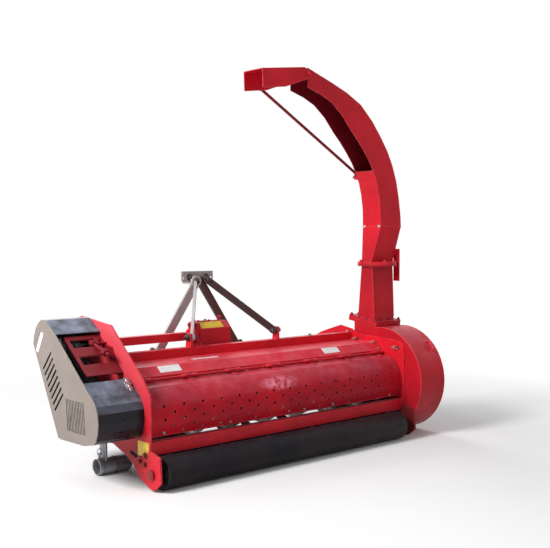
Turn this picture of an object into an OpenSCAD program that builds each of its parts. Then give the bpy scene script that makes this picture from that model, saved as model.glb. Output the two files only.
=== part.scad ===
// Mounted flail forage harvester: flail rotor, cross auger, side blower and
// swivelling spout, standing on its ground roller and two parking stands.
// Millimetres.  +X = machine's right, +Y = forward to the tractor, +Z = up.
// y = 0 is the auger and blower axis, z = 0 is the ground.

/* [Body] */
// clear width between the two end plates
work_w = 1824; // [1600:4:2000]
// thickness of an end plate
plate_t = 8; // [5:1:12]
// side of the square rear cross tube
tube_a = 48; // [40:1:60]
// height of the rear cross tube's underside
tube_rear_z = 550; // [540:1:560]
// height of the front cross tube's underside
tube_front_z = 497; // [495:1:505]
// thickness of the bent sheets
sheet_t = 4; // [3:0.5:5]

/* [Auger and cover] */
// height of the auger and blower axis
auger_z = 325; // [320:1:330]
// auger flight radius
flight_r = 138; // [120:1:140]
// auger flight pitch
flight_pitch = 240; // [180:5:300]
// outer radius of the perforated cover
cover_r = 155; // [152:1:156]
// perforation diameter
hole_d = 15; // [10:1:20]
// spacing of the perforations along the machine
hole_pitch = 117.7; // [100:0.1:120]

/* [Flail rotor] */
// rotor axis forward of the auger axis
rotor_y = 375; // [370:1:385]
// radius at the flail tips
flail_r = 180; // [165:1:190]
// rotor tube radius
rotor_tube_r = 70; // [55:1:85]

/* [Drive] */
// sideways place of the hitch and mast
hitch_x = -110; // [-130:1:-90]
// drive shaft forward of the auger axis
shaft_y = 350; // [345:1:355]
// height of the drive shaft
shaft_z = 648; // [645:1:652]
// radius of the two belt pulleys
pulley_r = 84; // [70:1:86]
// width of the belt guard beside the end plate
guard_w = 255; // [245:1:280]

/* [Blower and spout] */
// blower housing radius
blower_r = 318; // [300:1:320]
// blower housing width
blower_w = 226; // [200:1:240]
// sideways place of the spout's turning axis
spout_x = 1004; // [990:1:1015]
// fore and aft place of the spout's turning axis
spout_y = 110; // [105:1:115]
// width of the spout between its outer faces
spout_w = 150; // [140:1:160]
// height of the swivel joint
swivel_z = 1036; // [1030:1:1042]
// length of the deflector flap
flap_l = 450; // [400:5:500]

/* [Ground and hitch] */
// ground roller radius
roller_r = 80; // [70:1:80]
// roller axis behind the auger axis
roller_back = 215; // [215:1:225]
// height of the lower hitch pins
pin_z = 345; // [335:1:380]
// spread of the lower hitch pins
pin_spread = 825; // [680:5:830]
// lower hitch pin diameter
pin_d = 28; // [22:1:28]
// height from lower pins to the top link bore
mast_h = 610; // [600:1:615]
// top link bore
top_bore_d = 25.4; // [19:0.1:26]

/* [Hidden] */
in_x = work_w / 2;
out_x = in_x + plate_t;
guard_x = out_x + guard_w;
roller_y = -roller_back;
blower_x = out_x;
tube_rear_y = 240;
tube_front_y = 490;
top_z = pin_z + mast_h;
pin_y = 640;
top_y = 584;
// outer end of a parking stand's foot
stand_x = out_x + 230;
// inner face of the chain case inside the left end plate
case_x = -in_x + 32;
// running gap around shafts and pins
gap = 0.3;
// the perforated cover's arc and its hinge pin, as (y, z)
cover_c = [-20, 330];
hinge = [-27, 496];
// the hinge knuckles' places along the machine
knuckle_x = [for (k = [-3:3]) k * (in_x - 51) / 3];
// the flap's pivot, the stay's pin on the flap and its eye on the spout,
// as (x, z)
flap_pin = [322, 2138];
stay_pin = [96, 2052];
stay_eye = [915, 1597];
// the shift that puts the origin under the middle of the whole box
ox = (guard_x - stand_x) / 2;
oy = (blower_r - pin_y - 42) / 2;
$fn = 64;

red = [0.62, 0.09, 0.12];
face_grey = [0.62, 0.58, 0.54];
dark_rim = [0.17, 0.18, 0.22];
steel = [0.45, 0.43, 0.42];
worn = [0.75, 0.74, 0.72];
mast_grey = [0.36, 0.31, 0.29];
black = [0.08, 0.08, 0.09];

// the finished machine's place over the origin
module place() translate([ox, oy, 0]) children();
// a profile drawn in (y, z), drawn out from x0 to x1
module along_x(x0, x1) translate([x0, 0, 0]) rotate([90, 0, 90])
    linear_extrude(height = x1 - x0) children();
// a profile drawn in (x, z), drawn out from y0 to y1
module along_y(y0, y1) translate([0, y1, 0]) rotate([90, 0, 0])
    linear_extrude(height = y1 - y0) children();
module rod_x(x0, x1, r) translate([x0, 0, 0]) rotate([0, 90, 0])
    cylinder(r = r, h = x1 - x0);
module at_yz(y, z) translate([0, y, z]) children();
// points on an arc, for polygons
function arc(cx, cy, r, a0, a1, n) =
    [for (i = [0:n]) let (a = a0 + (a1 - a0) * i / n)
        [cx + r * cos(a), cy + r * sin(a)]];
// a straight flat bar between two points: w wide across, t deep
module bar(p, q, w, t) {
    d = q - p;
    l = norm(d);
    translate(p) rotate([0, acos(d[2] / l), atan2(d[1], d[0])])
        translate([-t / 2, -w / 2, 0]) cube([t, w, l]);
}
// a solid tapering between two level rectangles [x0, x1, y0, y1]
module taper(a, z0, b, z1) polyhedron(points = [
    [a[0], a[2], z0], [a[1], a[2], z0], [a[1], a[3], z0], [a[0], a[3], z0],
    [b[0], b[2], z1], [b[1], b[2], z1], [b[1], b[3], z1], [b[0], b[3], z1]],
    faces = [[0, 1, 2, 3], [4, 7, 6, 5], [0, 4, 5, 1], [1, 5, 6, 2],
        [2, 6, 7, 3], [3, 7, 4, 0]]);
// the same rectangle with its wall taken off
function inset(a, t) = [a[0] + t, a[1] - t, a[2] + t, a[3] - t];
// an oblong hole's outline, l long, d wide, leaning by an angle
module oblong(l, d, lean) rotate(lean) {
    square([l - d, d], center = true);
    for (s = [-1, 1]) translate([s * (l - d) / 2, 0]) circle(d = d);
}

// ---------------------------------------------------------------- frame
// lower rear part of both end plates, from the front edge backwards
plate_low = [[600, 540], [600, 170], [139, 169], [17, 130],
    [-111, 60], [-190, 120]];
module plate_left_2d() polygon(concat(plate_low, [[-190, 250],
    [-190, 430], [-184, 448], [-172, 466], [-127, 519], [59, 675],
    [157, 760], [444, 789], [520, 760], [560, 690]]));
module plate_right_2d() polygon(concat(plate_low, [[-190, 530],
    [-184, 545], [-170, 556], [-125, 576], [200, 592], [240, 619],
    [341, 637], [445, 605], [520, 580]]));
module end_plate_left() color(red) difference() {
    along_x(-out_x, -in_x) plate_left_2d();
    at_yz(0, auger_z) rod_x(-out_x - 1, -in_x + 1, 29.5 + gap);
    at_yz(rotor_y, auger_z) rod_x(-out_x - 1, -in_x + 1, 30 + gap);
    at_yz(shaft_y, shaft_z) rod_x(-out_x - 1, -in_x + 1, 14 + gap);
}
module end_plate_right() color(red) difference() {
    along_x(in_x, out_x) plate_right_2d();
    at_yz(0, auger_z) rod_x(in_x - 1, out_x + 1, 150);
    at_yz(rotor_y, auger_z) rod_x(in_x - 1, out_x + 1, 30 + gap);
    // three slotted bolt holes, as (y, z)
    along_x(in_x - 1, out_x + 1) for (p = [[172, 557], [18, 540],
        [-147, 526]]) translate(p) oblong(38, 13, 50);
}
module square_tube(y, z, a) difference() {
    translate([-in_x, y, z]) cube([work_w, a, a]);
    translate([-in_x - 1, y + 5, z + 5])
        cube([work_w + 2, a - 10, a - 10]);
}
module cross_tube_front() color(red)
    square_tube(tube_front_y, tube_front_z, tube_a);
// left faces of the two lugs that hold the mast's braces
lug_x = [-366, 272];
module cross_tube_rear() color(red) {
    square_tube(tube_rear_y, tube_rear_z, tube_a);
    for (x = lug_x) along_x(x, x + 16) polygon([
        [tube_rear_y, tube_rear_z + tube_a - 1],
        [tube_rear_y + tube_a, tube_rear_z + tube_a - 1],
        [tube_rear_y + 40, 672], [tube_rear_y + 6, 672]]);
}
hood_r = 206;
hood_top = tube_rear_z;
module hood() color(red) {
    // ledge over the hinge, sloping step, flat top
    along_x(-in_x, in_x) polygon([[-13, 485], [-13, 508],
        [38, hood_top], [290, hood_top], [316.2, 522.4],
        [313, 519], [288, hood_top - sheet_t],
        [40, hood_top - sheet_t], [-9, 505], [-9, 485]]);
    // round roof over the flail rotor
    along_x(-in_x, in_x) difference() {
        translate([rotor_y, auger_z]) circle(r = hood_r);
        translate([rotor_y, auger_z]) circle(r = hood_r - sheet_t);
        translate([rotor_y, auger_z]) polygon([[0, 0], [-300, 1006],
            [-400, 1006], [-400, -400], [400, -400], [400, 70]]);
    }
    // hinge pin with its fixed knuckles beside the cover's
    at_yz(hinge[0], hinge[1]) {
        rod_x(-in_x + 10, in_x - 10, 4);
        for (x = knuckle_x, s = [-1, 1]) {
            rod_x(x + s * 34 - 14, x + s * 34 + 14, 9);
            translate([x + s * 34 - 14, 0, -6]) cube([28, 15, 12]);
        }
    }
}
// clean-out windows in the trough: left and right edge
windows = [[-840, -690], [-480, -310], [-235, -145], [-85, 120],
    [190, 450]];
module trough() color(worn) difference() {
    along_x(case_x, in_x) translate([0, auger_z]) difference() {
        circle(r = 172);
        circle(r = 168);
        // open over the rotor's side and above
        polygon([[0, 0], [300, -128], [300, 400], [-300, 400],
            [-300, 0]]);
        // ends on the rear beam's front face
        translate([-334, -300]) square([200, 400]);
    }
    for (w = windows) translate([w[0], 40, auger_z - 180])
        cube([w[1] - w[0], 85, 100]);
}
module rear_beam() color(red) difference() {
    translate([-in_x, -178, 160]) cube([work_w, 44, 62]);
    translate([-in_x - 1, -173, 165]) cube([work_w + 2, 34, 52]);
}
gearbox_x = [-250, -35];
module gearbox_cradle() color(red) {
    tube_front_top = tube_front_z + tube_a;
    y1 = tube_rear_y + tube_a;
    for (x = [gearbox_x[0] + 10, gearbox_x[1] - 38]) along_x(x, x + 28)
        polygon([[y1, 556], [y1, 590], [415, 590],
            [tube_front_y, tube_front_top], [tube_front_y, 506],
            [400, 556]]);
    translate([gearbox_x[0], 305, 589]) cube([215, 104, 8]);
}
module gearbox() color(red) difference() {
    union() {
        along_x(gearbox_x[0], gearbox_x[1]) polygon([[305, 597],
            [305, 686], [345, 722], [405, 722], [405, 597]]);
        // square bearing flange on the left
        translate([gearbox_x[0] - 20, 310, 606]) cube([21, 84, 114]);
        translate([hitch_x, 404, shaft_z]) rotate([-90, 0, 0])
            cylinder(r = 48, h = 18);
        // breather
        translate([-60, 378, 721]) cylinder(r = 6, h = 14);
        translate([-60, 378, 735]) cylinder(r = 11, h = 14);
    }
    // bores for the two shafts
    translate([0, shaft_y, shaft_z])
        rod_x(gearbox_x[0] - 21, hitch_x - 30, 14 + gap);
    translate([hitch_x, 380, shaft_z]) rotate([-90, 0, 0])
        cylinder(r = 15 + gap, h = 60);
}
module shaft_tube() color(red) at_yz(shaft_y, shaft_z) difference() {
    union() {
        translate([-in_x, -22, -22])
            cube([in_x + gearbox_x[0] - 30, 44, 44]);
        rod_x(gearbox_x[0] - 44, gearbox_x[0] - 20, 41);
    }
    translate([-in_x - 1, -18, -18])
        cube([in_x + gearbox_x[0] - 43, 36, 36]);
    rod_x(gearbox_x[0] - 50, gearbox_x[0], 14 + gap);
}

// ---------------------------------------------------------------- hitch
leg_y = [502, 516];
module mast_head() color(mast_grey) difference() {
    union() {
        // cross strap, and the top link's two cheeks in front of it
        along_y(leg_y[1], leg_y[1] + 12) polygon([
            [hitch_x - 112, top_z - 5], [hitch_x - 102, top_z - 15],
            [hitch_x + 112, top_z - 15], [hitch_x + 112, top_z + 48],
            [hitch_x - 112, top_z + 48]]);
        for (s = [-1, 1]) translate([hitch_x + s * 34 - 6,
            leg_y[1] + 11, top_z - 28]) cube([12, 86, 60]);
    }
    at_yz(top_y, top_z) rod_x(hitch_x - 60, hitch_x + 60, top_bore_d / 2);
    along_y(leg_y[1] - 1, leg_y[1] + 13)
        for (x = [-93, 93]) translate([hitch_x + x, top_z + 9])
            oblong(34, 14, 0);
}
// one leg of the mast, from its foot on the front tube to the strap
module mast_leg(s) color(mast_grey) {
    z0 = tube_front_z + tube_a;
    intersection() {
        bar([hitch_x, 509, top_z + 7], [hitch_x + s * 286, 509, z0 + 4],
            14, 50);
        translate([s > 0 ? hitch_x : hitch_x - 400, 480, z0 + 10])
            cube([400, 60, top_z + 20 - z0]);
    }
    translate([hitch_x + s * 286 - 50, 494, z0]) cube([100, 40, 14]);
}
module mast_leg_left() mast_leg(-1);
module mast_leg_right() mast_leg(1);
// a rear brace: its head (x, z), eye radius, lower eye's left face x,
// width, depth, and the x from which the lug's room is cleared
module mast_brace(head, eye, x, w, t, lug) color(mast_grey) {
    y0 = leg_y[0] - 16;
    difference() {
        bar([head[0], leg_y[0] - 8, head[1]], [x + 8, 263, 650], w, t);
        translate([head[0] - 100, leg_y[0], head[1] - 100])
            cube([200, 60, 200]);
        translate([lug, 200, 600]) cube([50, 100, 100]);
    }
    along_y(y0, leg_y[0]) translate(head) circle(r = eye);
    at_yz(263, 650) rod_x(x, x + 16, 21);
}
module mast_brace_left()
    mast_brace([hitch_x - 30, top_z - 10], 33, lug_x[0] + 16, 16, 30,
        lug_x[0] - 34);
module mast_brace_right()
    mast_brace([hitch_x + 48, top_z], 24, lug_x[1] - 16, 20, 42,
        lug_x[1]);
module hitch(s) {
    x = hitch_x + s * pin_spread / 2;
    z0 = tube_front_z;
    y0 = tube_front_y + tube_a;
    color(mast_grey) {
        // bracket hanging from the front tube
        along_x(x - s * 60 - 8, x - s * 60 + 8)
            polygon([[y0, z0], [y0, z0 + tube_a], [600, 540],
                [pin_y + 42, pin_z + 30], [pin_y + 34, pin_z - 34],
                [pin_y - 34, pin_z - 34], [pin_y - 40, 420],
                [560, z0 - 10]]);
        at_yz(pin_y, pin_z) rod_x(min(x - s * 80, x + s * 75),
            max(x - s * 80, x + s * 75), pin_d / 2);
        at_yz(pin_y, pin_z) rod_x(min(x - s * 67, x - s * 42),
            max(x - s * 67, x - s * 42), 24);
    }
}
module hitch_left() hitch(-1);
module hitch_right() hitch(1);

// ---------------------------------------------------------------- drive
guard_pts = [[392, 786], [424, 768], [452, 738], [470, 700], [478, 660],
    [228, 222], [200, 217], [-20, 222], [-98, 238], [-122, 256],
    [-138, 292], [-144, 336], [-139, 382], [-122, 417], [-94, 447],
    [-22, 501], [262, 727], [362, 784]];
module guard_face() color(face_grey) difference() {
    along_x(-guard_x, -guard_x + 4) polygon(guard_pts);
    // eight long slots, falling forward
    for (i = [0:7]) let (y = 335 - i * 16.6, z = 586 - i * 27.1)
        translate([-guard_x - 1, y, z]) rotate([-48, 0, 0])
            translate([0, -63, -7]) cube([6, 126, 14]);
    // nearly upright louvres
    for (i = [0:11]) translate([-guard_x - 1, -35 + i * 14.6, 271])
        rotate([-7, 0, 0]) cube([6, 8, 154]);
}
module guard_shell() color(dark_rim) difference() {
    along_x(-guard_x + 4, -out_x) polygon(guard_pts);
    along_x(-guard_x + 3, -out_x + 1) offset(delta = -sheet_t)
        polygon(guard_pts);
    // open on the rear top side, between the two closed rim panels
    along_x(-guard_x + 4, -out_x + 1)
        polygon([[242, 738], [-21, 528], [5, 496], [268, 705]]);
}
module chain_case() color(red) difference() {
    along_x(-in_x, case_x) {
        translate([0, auger_z]) circle(r = 84);
        translate([rotor_y, auger_z]) circle(r = 84);
        translate([0, auger_z - 84]) square([rotor_y, 168]);
    }
    at_yz(0, auger_z) rod_x(-in_x - 1, case_x + 1, 29.5 + gap);
    at_yz(rotor_y, auger_z) rod_x(-in_x - 1, case_x + 1, 30 + gap);
}
// four belts side by side, each around both pulleys
module belt_2d(r) let (a = atan2(shaft_z - auger_z, shaft_y))
    polygon(concat(arc(0, auger_z, r, a + 90, a + 270, 14),
        arc(shaft_y, shaft_z, r, a - 90, a + 90, 14)));
module belts() color(black) for (i = [0:3])
    along_x(51 - guard_x + i * 21, 66 - guard_x + i * 21) difference() {
        belt_2d(pulley_r + 6);
        belt_2d(pulley_r + 0.8);
    }
module tensioner() color(red) {
    // ladder frame just under the open side of the guard, over the belts
    difference() {
        along_x(53 - guard_x, -out_x) polygon([[266, 700], [262, 705],
            [40, 537], [44, 532]]);
        for (y = [100, 196]) translate([71 - guard_x, y, 400])
            cube([138, 50, 400]);
        translate([-out_x - 28, 110, 400]) cube([18, 130, 400]);
    }
    // bolt that sets the belts' tension, with its nut plate
    translate([-out_x - 65, 250, 676]) rotate([106, 0, 0]) {
        cylinder(r = 9, h = 190);
        translate([0, 0, 20]) cylinder(r = 17, h = 22, $fn = 6);
        translate([0, 0, 138]) cylinder(r = 19, h = 26, $fn = 6);
    }
    // flat clip from the end plate to the bolt
    translate([-out_x - 80, 196, 664]) cube([80, 34, 9]);
    // bright gusset standing on the end plate
    along_x(-out_x - 10, -out_x) polygon([[235, 668], [140, 652],
        [60, 528], [100, 524]]);
}

// --------------------------------------------------- blower and spout
// the outlet flange leans back: its middle (y, z) and its lean
flange_c = [154, 676];
flange_lean = 8.7;
module flange_plate(z, t, w) translate([(blower_x + blower_x + blower_w)
    / 2, flange_c[0], flange_c[1]]) rotate([flange_lean, 0, 0])
    translate([-w / 2, -118, z]) cube([w, 236, t]);
module blower_2d(g) difference() {
    union() {
        translate([0, auger_z]) circle(r = blower_r - g);
        translate([44 + g, auger_z]) square([181 - 2 * g, 420]);
    }
    // cut off under the flange
    translate(flange_c) rotate(flange_lean)
        translate([-119, g > 0 ? 40 : -18]) square([400, 300]);
}
module blower_housing() color(red) difference() {
    union() {
        along_x(blower_x, blower_x + blower_w) blower_2d(0);
        flange_plate(-19, 19, blower_w + 4);
    }
    along_x(blower_x + 4, blower_x + blower_w - 4) blower_2d(4);
    at_yz(0, auger_z) rod_x(blower_x - 1, blower_x + 5, 150);
    at_yz(0, auger_z) rod_x(blower_x + blower_w - 5,
        blower_x + blower_w + 1, 29.5 + gap);
}
// the column's lower and upper section, as [x0, x1, y0, y1]
col_low = [922, 1106, 56, 196];
col_top = [spout_x - 94, spout_x + 94, 66, 152];
module outlet_column() color(red) difference() {
    union() {
        flange_plate(0, 17, blower_w + 4);
        difference() {
            taper(col_low, 640, col_top, swivel_z - 13);
            // cut off at the flange
            translate([800, flange_c[0], flange_c[1]])
                rotate([flange_lean, 0, 0])
                translate([0, -300, -100]) cube([500, 600, 101]);
        }
        translate([spout_x, spout_y, swivel_z - 14])
            cylinder(r = 122, h = 14);
        // lock bracket for the swivel, at the right
        translate([spout_x + 94, 92, swivel_z - 60]) cube([14, 30, 47]);
    }
    taper(inset(col_low, 4), 639, inset(col_top, 4), swivel_z + 1);
}
module spout_base() color(red) difference() {
    translate([spout_x, spout_y, swivel_z + gap])
        cylinder(r = 122, h = 12);
    translate([spout_x - 90, 70, swivel_z - 1]) cube([180, 78, 14]);
}
// the spout's side view above its foot, (x, z): outer and inner edge
foot_z = 1048 + gap;
// the spout is drawn about x = 1004 on a swivel at z = 1036
module on_swivel() translate([spout_x - 1004, 0, swivel_z - 1036])
    children();
fold_z = 1272;
foot_low = [908, 1104, 68, 152];
foot_top = [953, 1146, spout_y - spout_w / 2, spout_y + spout_w / 2];
spout_out = [[1146, fold_z], [1142, 1340], [1124, 1455], [1100, 1556],
    [1063, 1652], [1017, 1736], [958, 1816], [874, 1914], [768, 2006],
    [644, 2066], [512, 2112], [322, 2172]];
spout_in = [[322, 2060], [430, 2030], [516, 1994], [604, 1928],
    [682, 1844], [744, 1786], [802, 1722], [846, 1668], [880, 1614],
    [914, 1544], [936, 1470], [950, 1380], [953, fold_z]];
module spout() color(red) on_swivel() {
    y0 = spout_y - spout_w / 2;
    y1 = spout_y + spout_w / 2;
    // foot, widening from the swivel to the fold
    difference() {
        taper(foot_low, foot_z, foot_top, fold_z);
        taper(inset(foot_low, 4), foot_z - 1, inset(foot_top, 4),
            fold_z + 1);
    }
    // side plates with the flap's ears
    for (y = [y0, y1 - 4]) along_y(y, y + 4) difference() {
        union() {
            polygon(concat(spout_out, spout_in));
            translate(flap_pin) circle(r = 24);
        }
        translate(flap_pin) circle(r = 8 + gap);
    }
    // curved back sheet
    along_y(y0 + 3, y1 - 3) polygon(concat(spout_out,
        [for (i = [len(spout_out) - 1:-1:0]) let (p = spout_out[i],
            a = spout_out[max(i - 1, 0)],
            b = spout_out[min(i + 1, len(spout_out) - 1)],
            d = (b - a) / norm(b - a)) [p[0] - 4 * d[1], p[1] + 4 * d[0]]]));
    // closed underside of the lower length
    along_y(y0 + 3, y1 - 3) polygon([[880, 1614], [914, 1544],
        [936, 1470], [950, 1380], [953, fold_z], [957, fold_z],
        [954, 1381], [940, 1471], [918, 1546], [884, 1616]]);
    // turning lever, hanging outside the swivel ring
    translate([1128, 35, 925]) cube([8, 45, 205]);
    translate([1114.5, 60, 1096]) cube([14, 20, 30]);
}
// slotted guide that the stay rod slides through, on the spout's front side
module stay_guide() color(red) on_swivel()
    translate([stay_eye[0], spout_y + spout_w / 2, stay_eye[1]])
    rotate([0, 29, 0]) difference() {
        translate([-8, 0, -30]) cube([16, 28, 60]);
        translate([-9, 6, -21]) cube([18, 16, 42]);
    }
module flap() color(red) on_swivel() {
    y0 = spout_y - spout_w / 2 - 6;
    y1 = spout_y + spout_w / 2 + 6;
    x = flap_pin[0];
    z = flap_pin[1];
    x1 = x - flap_l;
    for (y = [y0, y1 - 4]) along_y(y, y + 4) polygon([
        [x + 14, z + 22], [x + 20, z - 20], [x1, 2002], [x1, 2106],
        [x - 40, z + 40]]);
    along_y(y0, y1) polygon([[x1, 2106], [x - 40, z + 40],
        [x - 40, z + 44], [x1, 2110]]);
    // stub pins in the spout's ears
    for (y = [y0 - 6, y1 - 16]) along_y(y, y + 22)
        translate(flap_pin) circle(r = 8);
    for (y = [y0 - 8, y1]) along_y(y, y + 8)
        translate(flap_pin) circle(r = 14);
    // pin for the stay rod
    along_y(y1 - 1, y1 + 18) translate(stay_pin) circle(r = 7);
    along_y(y1 + 12, y1 + 18) translate(stay_pin) circle(r = 12);
}
stay_y = spout_y + spout_w / 2 + 8;
module stay_rod() color(steel) on_swivel() {
    // the rod runs from just off its pin to past the guide
    d = stay_eye - stay_pin;
    a = stay_pin + d * 0.0125;
    b = stay_pin + d * 1.06;
    difference() {
        union() {
            along_y(stay_y - 0.7, stay_y + 8.7) translate(stay_pin)
                circle(r = 16);
            bar([a[0], stay_y + 4, a[1]], [b[0], stay_y + 4, b[1]],
                8, 16);
        }
        along_y(stay_y - 2, stay_y + 10) translate(stay_pin)
            circle(r = 7 + gap);
    }
}

// ------------------------------------------------- ground and rotors
// each end's bracket lies outside the left plate, inside the right one
arm_x = [-out_x - 10, in_x - 10];
module roller_arm(x0) color(red) {
    along_x(x0, x0 + 10) difference() {
        polygon([[-40, 118], [-100, 146], [-186, 150], [-186, 192],
            [-279, 170], [-288, 54], [-240, 14], [-217, 7], [-180, 20],
            [-111, 50]]);
        translate([roller_y, roller_r]) circle(r = 16 + gap);
    }
}
module roller_arm_left() roller_arm(arm_x[0]);
module roller_arm_right() roller_arm(arm_x[1]);
// a parking stand: strap on the end plate, foot tube lying on the ground
module stand(s) color(steel) {
    x0 = s > 0 ? arm_x[1] : arm_x[0];
    along_x(x0, x0 + 10) translate([270, 60]) square([60, 175]);
    at_yz(300, 42) difference() {
        rod_x(s > 0 ? in_x - 72 : -stand_x, s > 0 ? stand_x : -in_x + 72,
            42);
        rod_x(s > 0 ? stand_x - 60 : -stand_x - 1,
            s > 0 ? stand_x + 1 : -stand_x + 60, 37);
    }
}
module stand_left() stand(-1);
module stand_right() stand(1);
// a tube from x0 to x1 closed by two drilled end discs
module drum(x0, x1, r, t) difference() {
    rod_x(x0, x1, r);
    rod_x(x0 + 12, x1 - 12, r - t);
    for (a = [0:90:270]) rotate([a + 45, 0, 0]) translate([0, 0, r * 0.7])
        rod_x(x0 - 1, x1 + 1, r * 0.16);
}
module flail_rotor() color(steel) at_yz(rotor_y, auger_z) {
    drum(case_x + 14, in_x - 14, rotor_tube_r, 9);
    rod_x(-out_x - 4, case_x + 26, 30);
    rod_x(in_x - 26, out_x + 4, 30);
    // four rows of nine flails, each on its bracket
    for (r = [0:3], i = [0:8])
        translate([132 - in_x + i * (work_w - 304) / 8 + r * 12, 0, 0])
            rotate([r * 90 + i * 10, 0, 0]) {
                translate([-5, -16, rotor_tube_r - 4]) cube([10, 32, 40]);
                translate([-36, -8, 100]) cube([72, 8, flail_r - 102]);
            }
}
auger_x0 = case_x + 8;
module auger_tube() color(steel) at_yz(0, auger_z) difference() {
    rod_x(auger_x0, in_x - 6, 44);
    rod_x(auger_x0 - 1, in_x, 29.5);
    rod_x(auger_x0 + 12, in_x - 18, 38);
}
module auger_flight() color(steel) {
    x0 = auger_x0 + 8;
    l = in_x - 32 - x0;
    n = floor(l / flight_pitch * 20);
    dx = l / n;
    pts = [for (i = [0:n]) let (a = -i * dx / flight_pitch * 360)
        for (q = [[0, 44.6], [0, flight_r], [6, flight_r], [6, 44.6]])
            [x0 + i * dx + q[0], q[1] * cos(a), auger_z + q[1] * sin(a)]];
    polyhedron(points = pts, faces = concat([[0, 1, 2, 3]],
        [for (i = [0:n - 1], j = [0:3]) [i * 4 + j, i * 4 + 4 + j,
            i * 4 + 4 + (j + 1) % 4]],
        [for (i = [0:n - 1], j = [0:3]) [i * 4 + j,
            i * 4 + 4 + (j + 1) % 4, i * 4 + (j + 1) % 4]],
        [[n * 4 + 3, n * 4 + 2, n * 4 + 1, n * 4]]));
}
module auger_shaft() color(steel) at_yz(0, auger_z)
    rod_x(25 - guard_x, blower_x + blower_w + 4, 29.5);
// a pulley with four belt grooves
module pulley(r) {
    rod_x(41 - guard_x, 141 - guard_x, r - 12);
    for (i = [0:4])
        rod_x(41 - guard_x + i * 21, 47 - guard_x + i * 21, r);
}
module auger_pulley() color(black) at_yz(0, auger_z) difference() {
    pulley(pulley_r);
    rod_x(40 - guard_x, 142 - guard_x, 29.5);
}
module impeller() color(steel) at_yz(0, auger_z) {
    x1 = blower_x + blower_w - 24;
    difference() {
        union() {
            rod_x(blower_x + 24, x1, 60);
            rod_x(x1 - 6, x1, 200);
            for (i = [0:5]) rotate([i * 60, 0, 0])
                translate([blower_x + 26, -4, 40])
                    cube([x1 - blower_x - 28, 8, 258]);
        }
        rod_x(blower_x, blower_x + blower_w, 29.5);
    }
}
module drive_shaft() color(steel) at_yz(shaft_y, shaft_z) {
    rod_x(25 - guard_x, hitch_x - 34, 14);
    pulley(pulley_r);
}
module pto_shaft() color(steel)
    translate([hitch_x, 384, shaft_z]) rotate([-90, 0, 0]) {
        cylinder(r = 15, h = 42);
        translate([0, 0, 40]) cylinder(r = 17.5, h = 106);
    }
module ground_roller() color(dark_rim) at_yz(roller_y, roller_r) {
    drum(-in_x + 8, arm_x[1] - 8, roller_r, 7);
    rod_x(-out_x - 20, -in_x + 18, 16);
    rod_x(arm_x[1] - 18, in_x + 3, 16);
}

// ---------------------------------------------------------- rear cover
module rear_cover() color(red) {
    difference() {
        union() {
            // round skirt behind the auger
            along_x(-in_x + 7, in_x - 7) translate(cover_c) difference() {
                circle(r = cover_r);
                circle(r = cover_r - sheet_t);
                polygon([[0, 0], [-200, 410], [400, 410], [400, -600],
                    [-400, -600], [-400, -280]]);
            }
            // nearly level part from the hinge
            along_x(-in_x + 7, in_x - 7) polygon([[-18, 483.4],
                [-87.5, 469.6], [-88.6, 468.9], [-87.6, 465.5],
                [-86, 465.8], [-18, 479.3]]);
        }
        // five rows of holes
        for (r = [0:4]) for (i = [0:(r % 2 == 0 ? 14 : 13)])
            translate([-7 * hole_pitch + (r % 2) * hole_pitch / 2
                + i * hole_pitch, cover_c[0], cover_c[1]])
                rotate([69.2 + r * 12.2, 0, 0])
                translate([0, 0, 100]) cylinder(d = hole_d, h = 80,
                    $fn = 16);
    }
    // hinge knuckles on the pin
    for (x = knuckle_x) difference() {
        union() {
            at_yz(hinge[0], hinge[1]) rod_x(x - 18, x + 18, 9);
            translate([x - 18, hinge[0] - 8, 478]) cube([36, 10, 16]);
        }
        at_yz(hinge[0], hinge[1]) rod_x(x - 20, x + 20, 4 + gap);
    }
}

place() end_plate_left();
place() end_plate_right();
place() cross_tube_front();
place() cross_tube_rear();
place() hood();
place() trough();
place() rear_beam();
place() gearbox_cradle();
place() gearbox();
place() shaft_tube();
place() mast_head();
place() mast_leg_left();
place() mast_leg_right();
place() mast_brace_left();
place() mast_brace_right();
place() hitch_left();
place() hitch_right();
place() guard_face();
place() guard_shell();
place() chain_case();
place() belts();
place() tensioner();
place() blower_housing();
place() outlet_column();
place() roller_arm_left();
place() roller_arm_right();
place() stand_left();
place() stand_right();
place() flail_rotor();
place() auger_tube();
place() auger_flight();
place() auger_shaft();
place() auger_pulley();
place() impeller();
place() drive_shaft();
place() pto_shaft();
place() ground_roller();
place() rear_cover();
place() spout_base();
place() spout();
place() stay_guide();
place() flap();
place() stay_rod();
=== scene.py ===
"""Finishes, fixings and small parts of a mounted flail forage harvester.

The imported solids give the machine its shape.  This script paints them and
adds what a fitter would bolt, weld or stick on: bolts, bearing units, seams,
plates, catches, the splined input shaft and the studio around the machine.
The end flap, the parking stands and the roller's drum are made here in place
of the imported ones.

Machine sizes are written in millimetres from the machine's own datum, which
is the cross auger's axis over the ground, and turned into the shared frame
by the Datum class.
"""

import logging
import math
from dataclasses import dataclass, field
from enum import Enum

import bpy
import bmesh
from mathutils import Matrix, Vector


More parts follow.
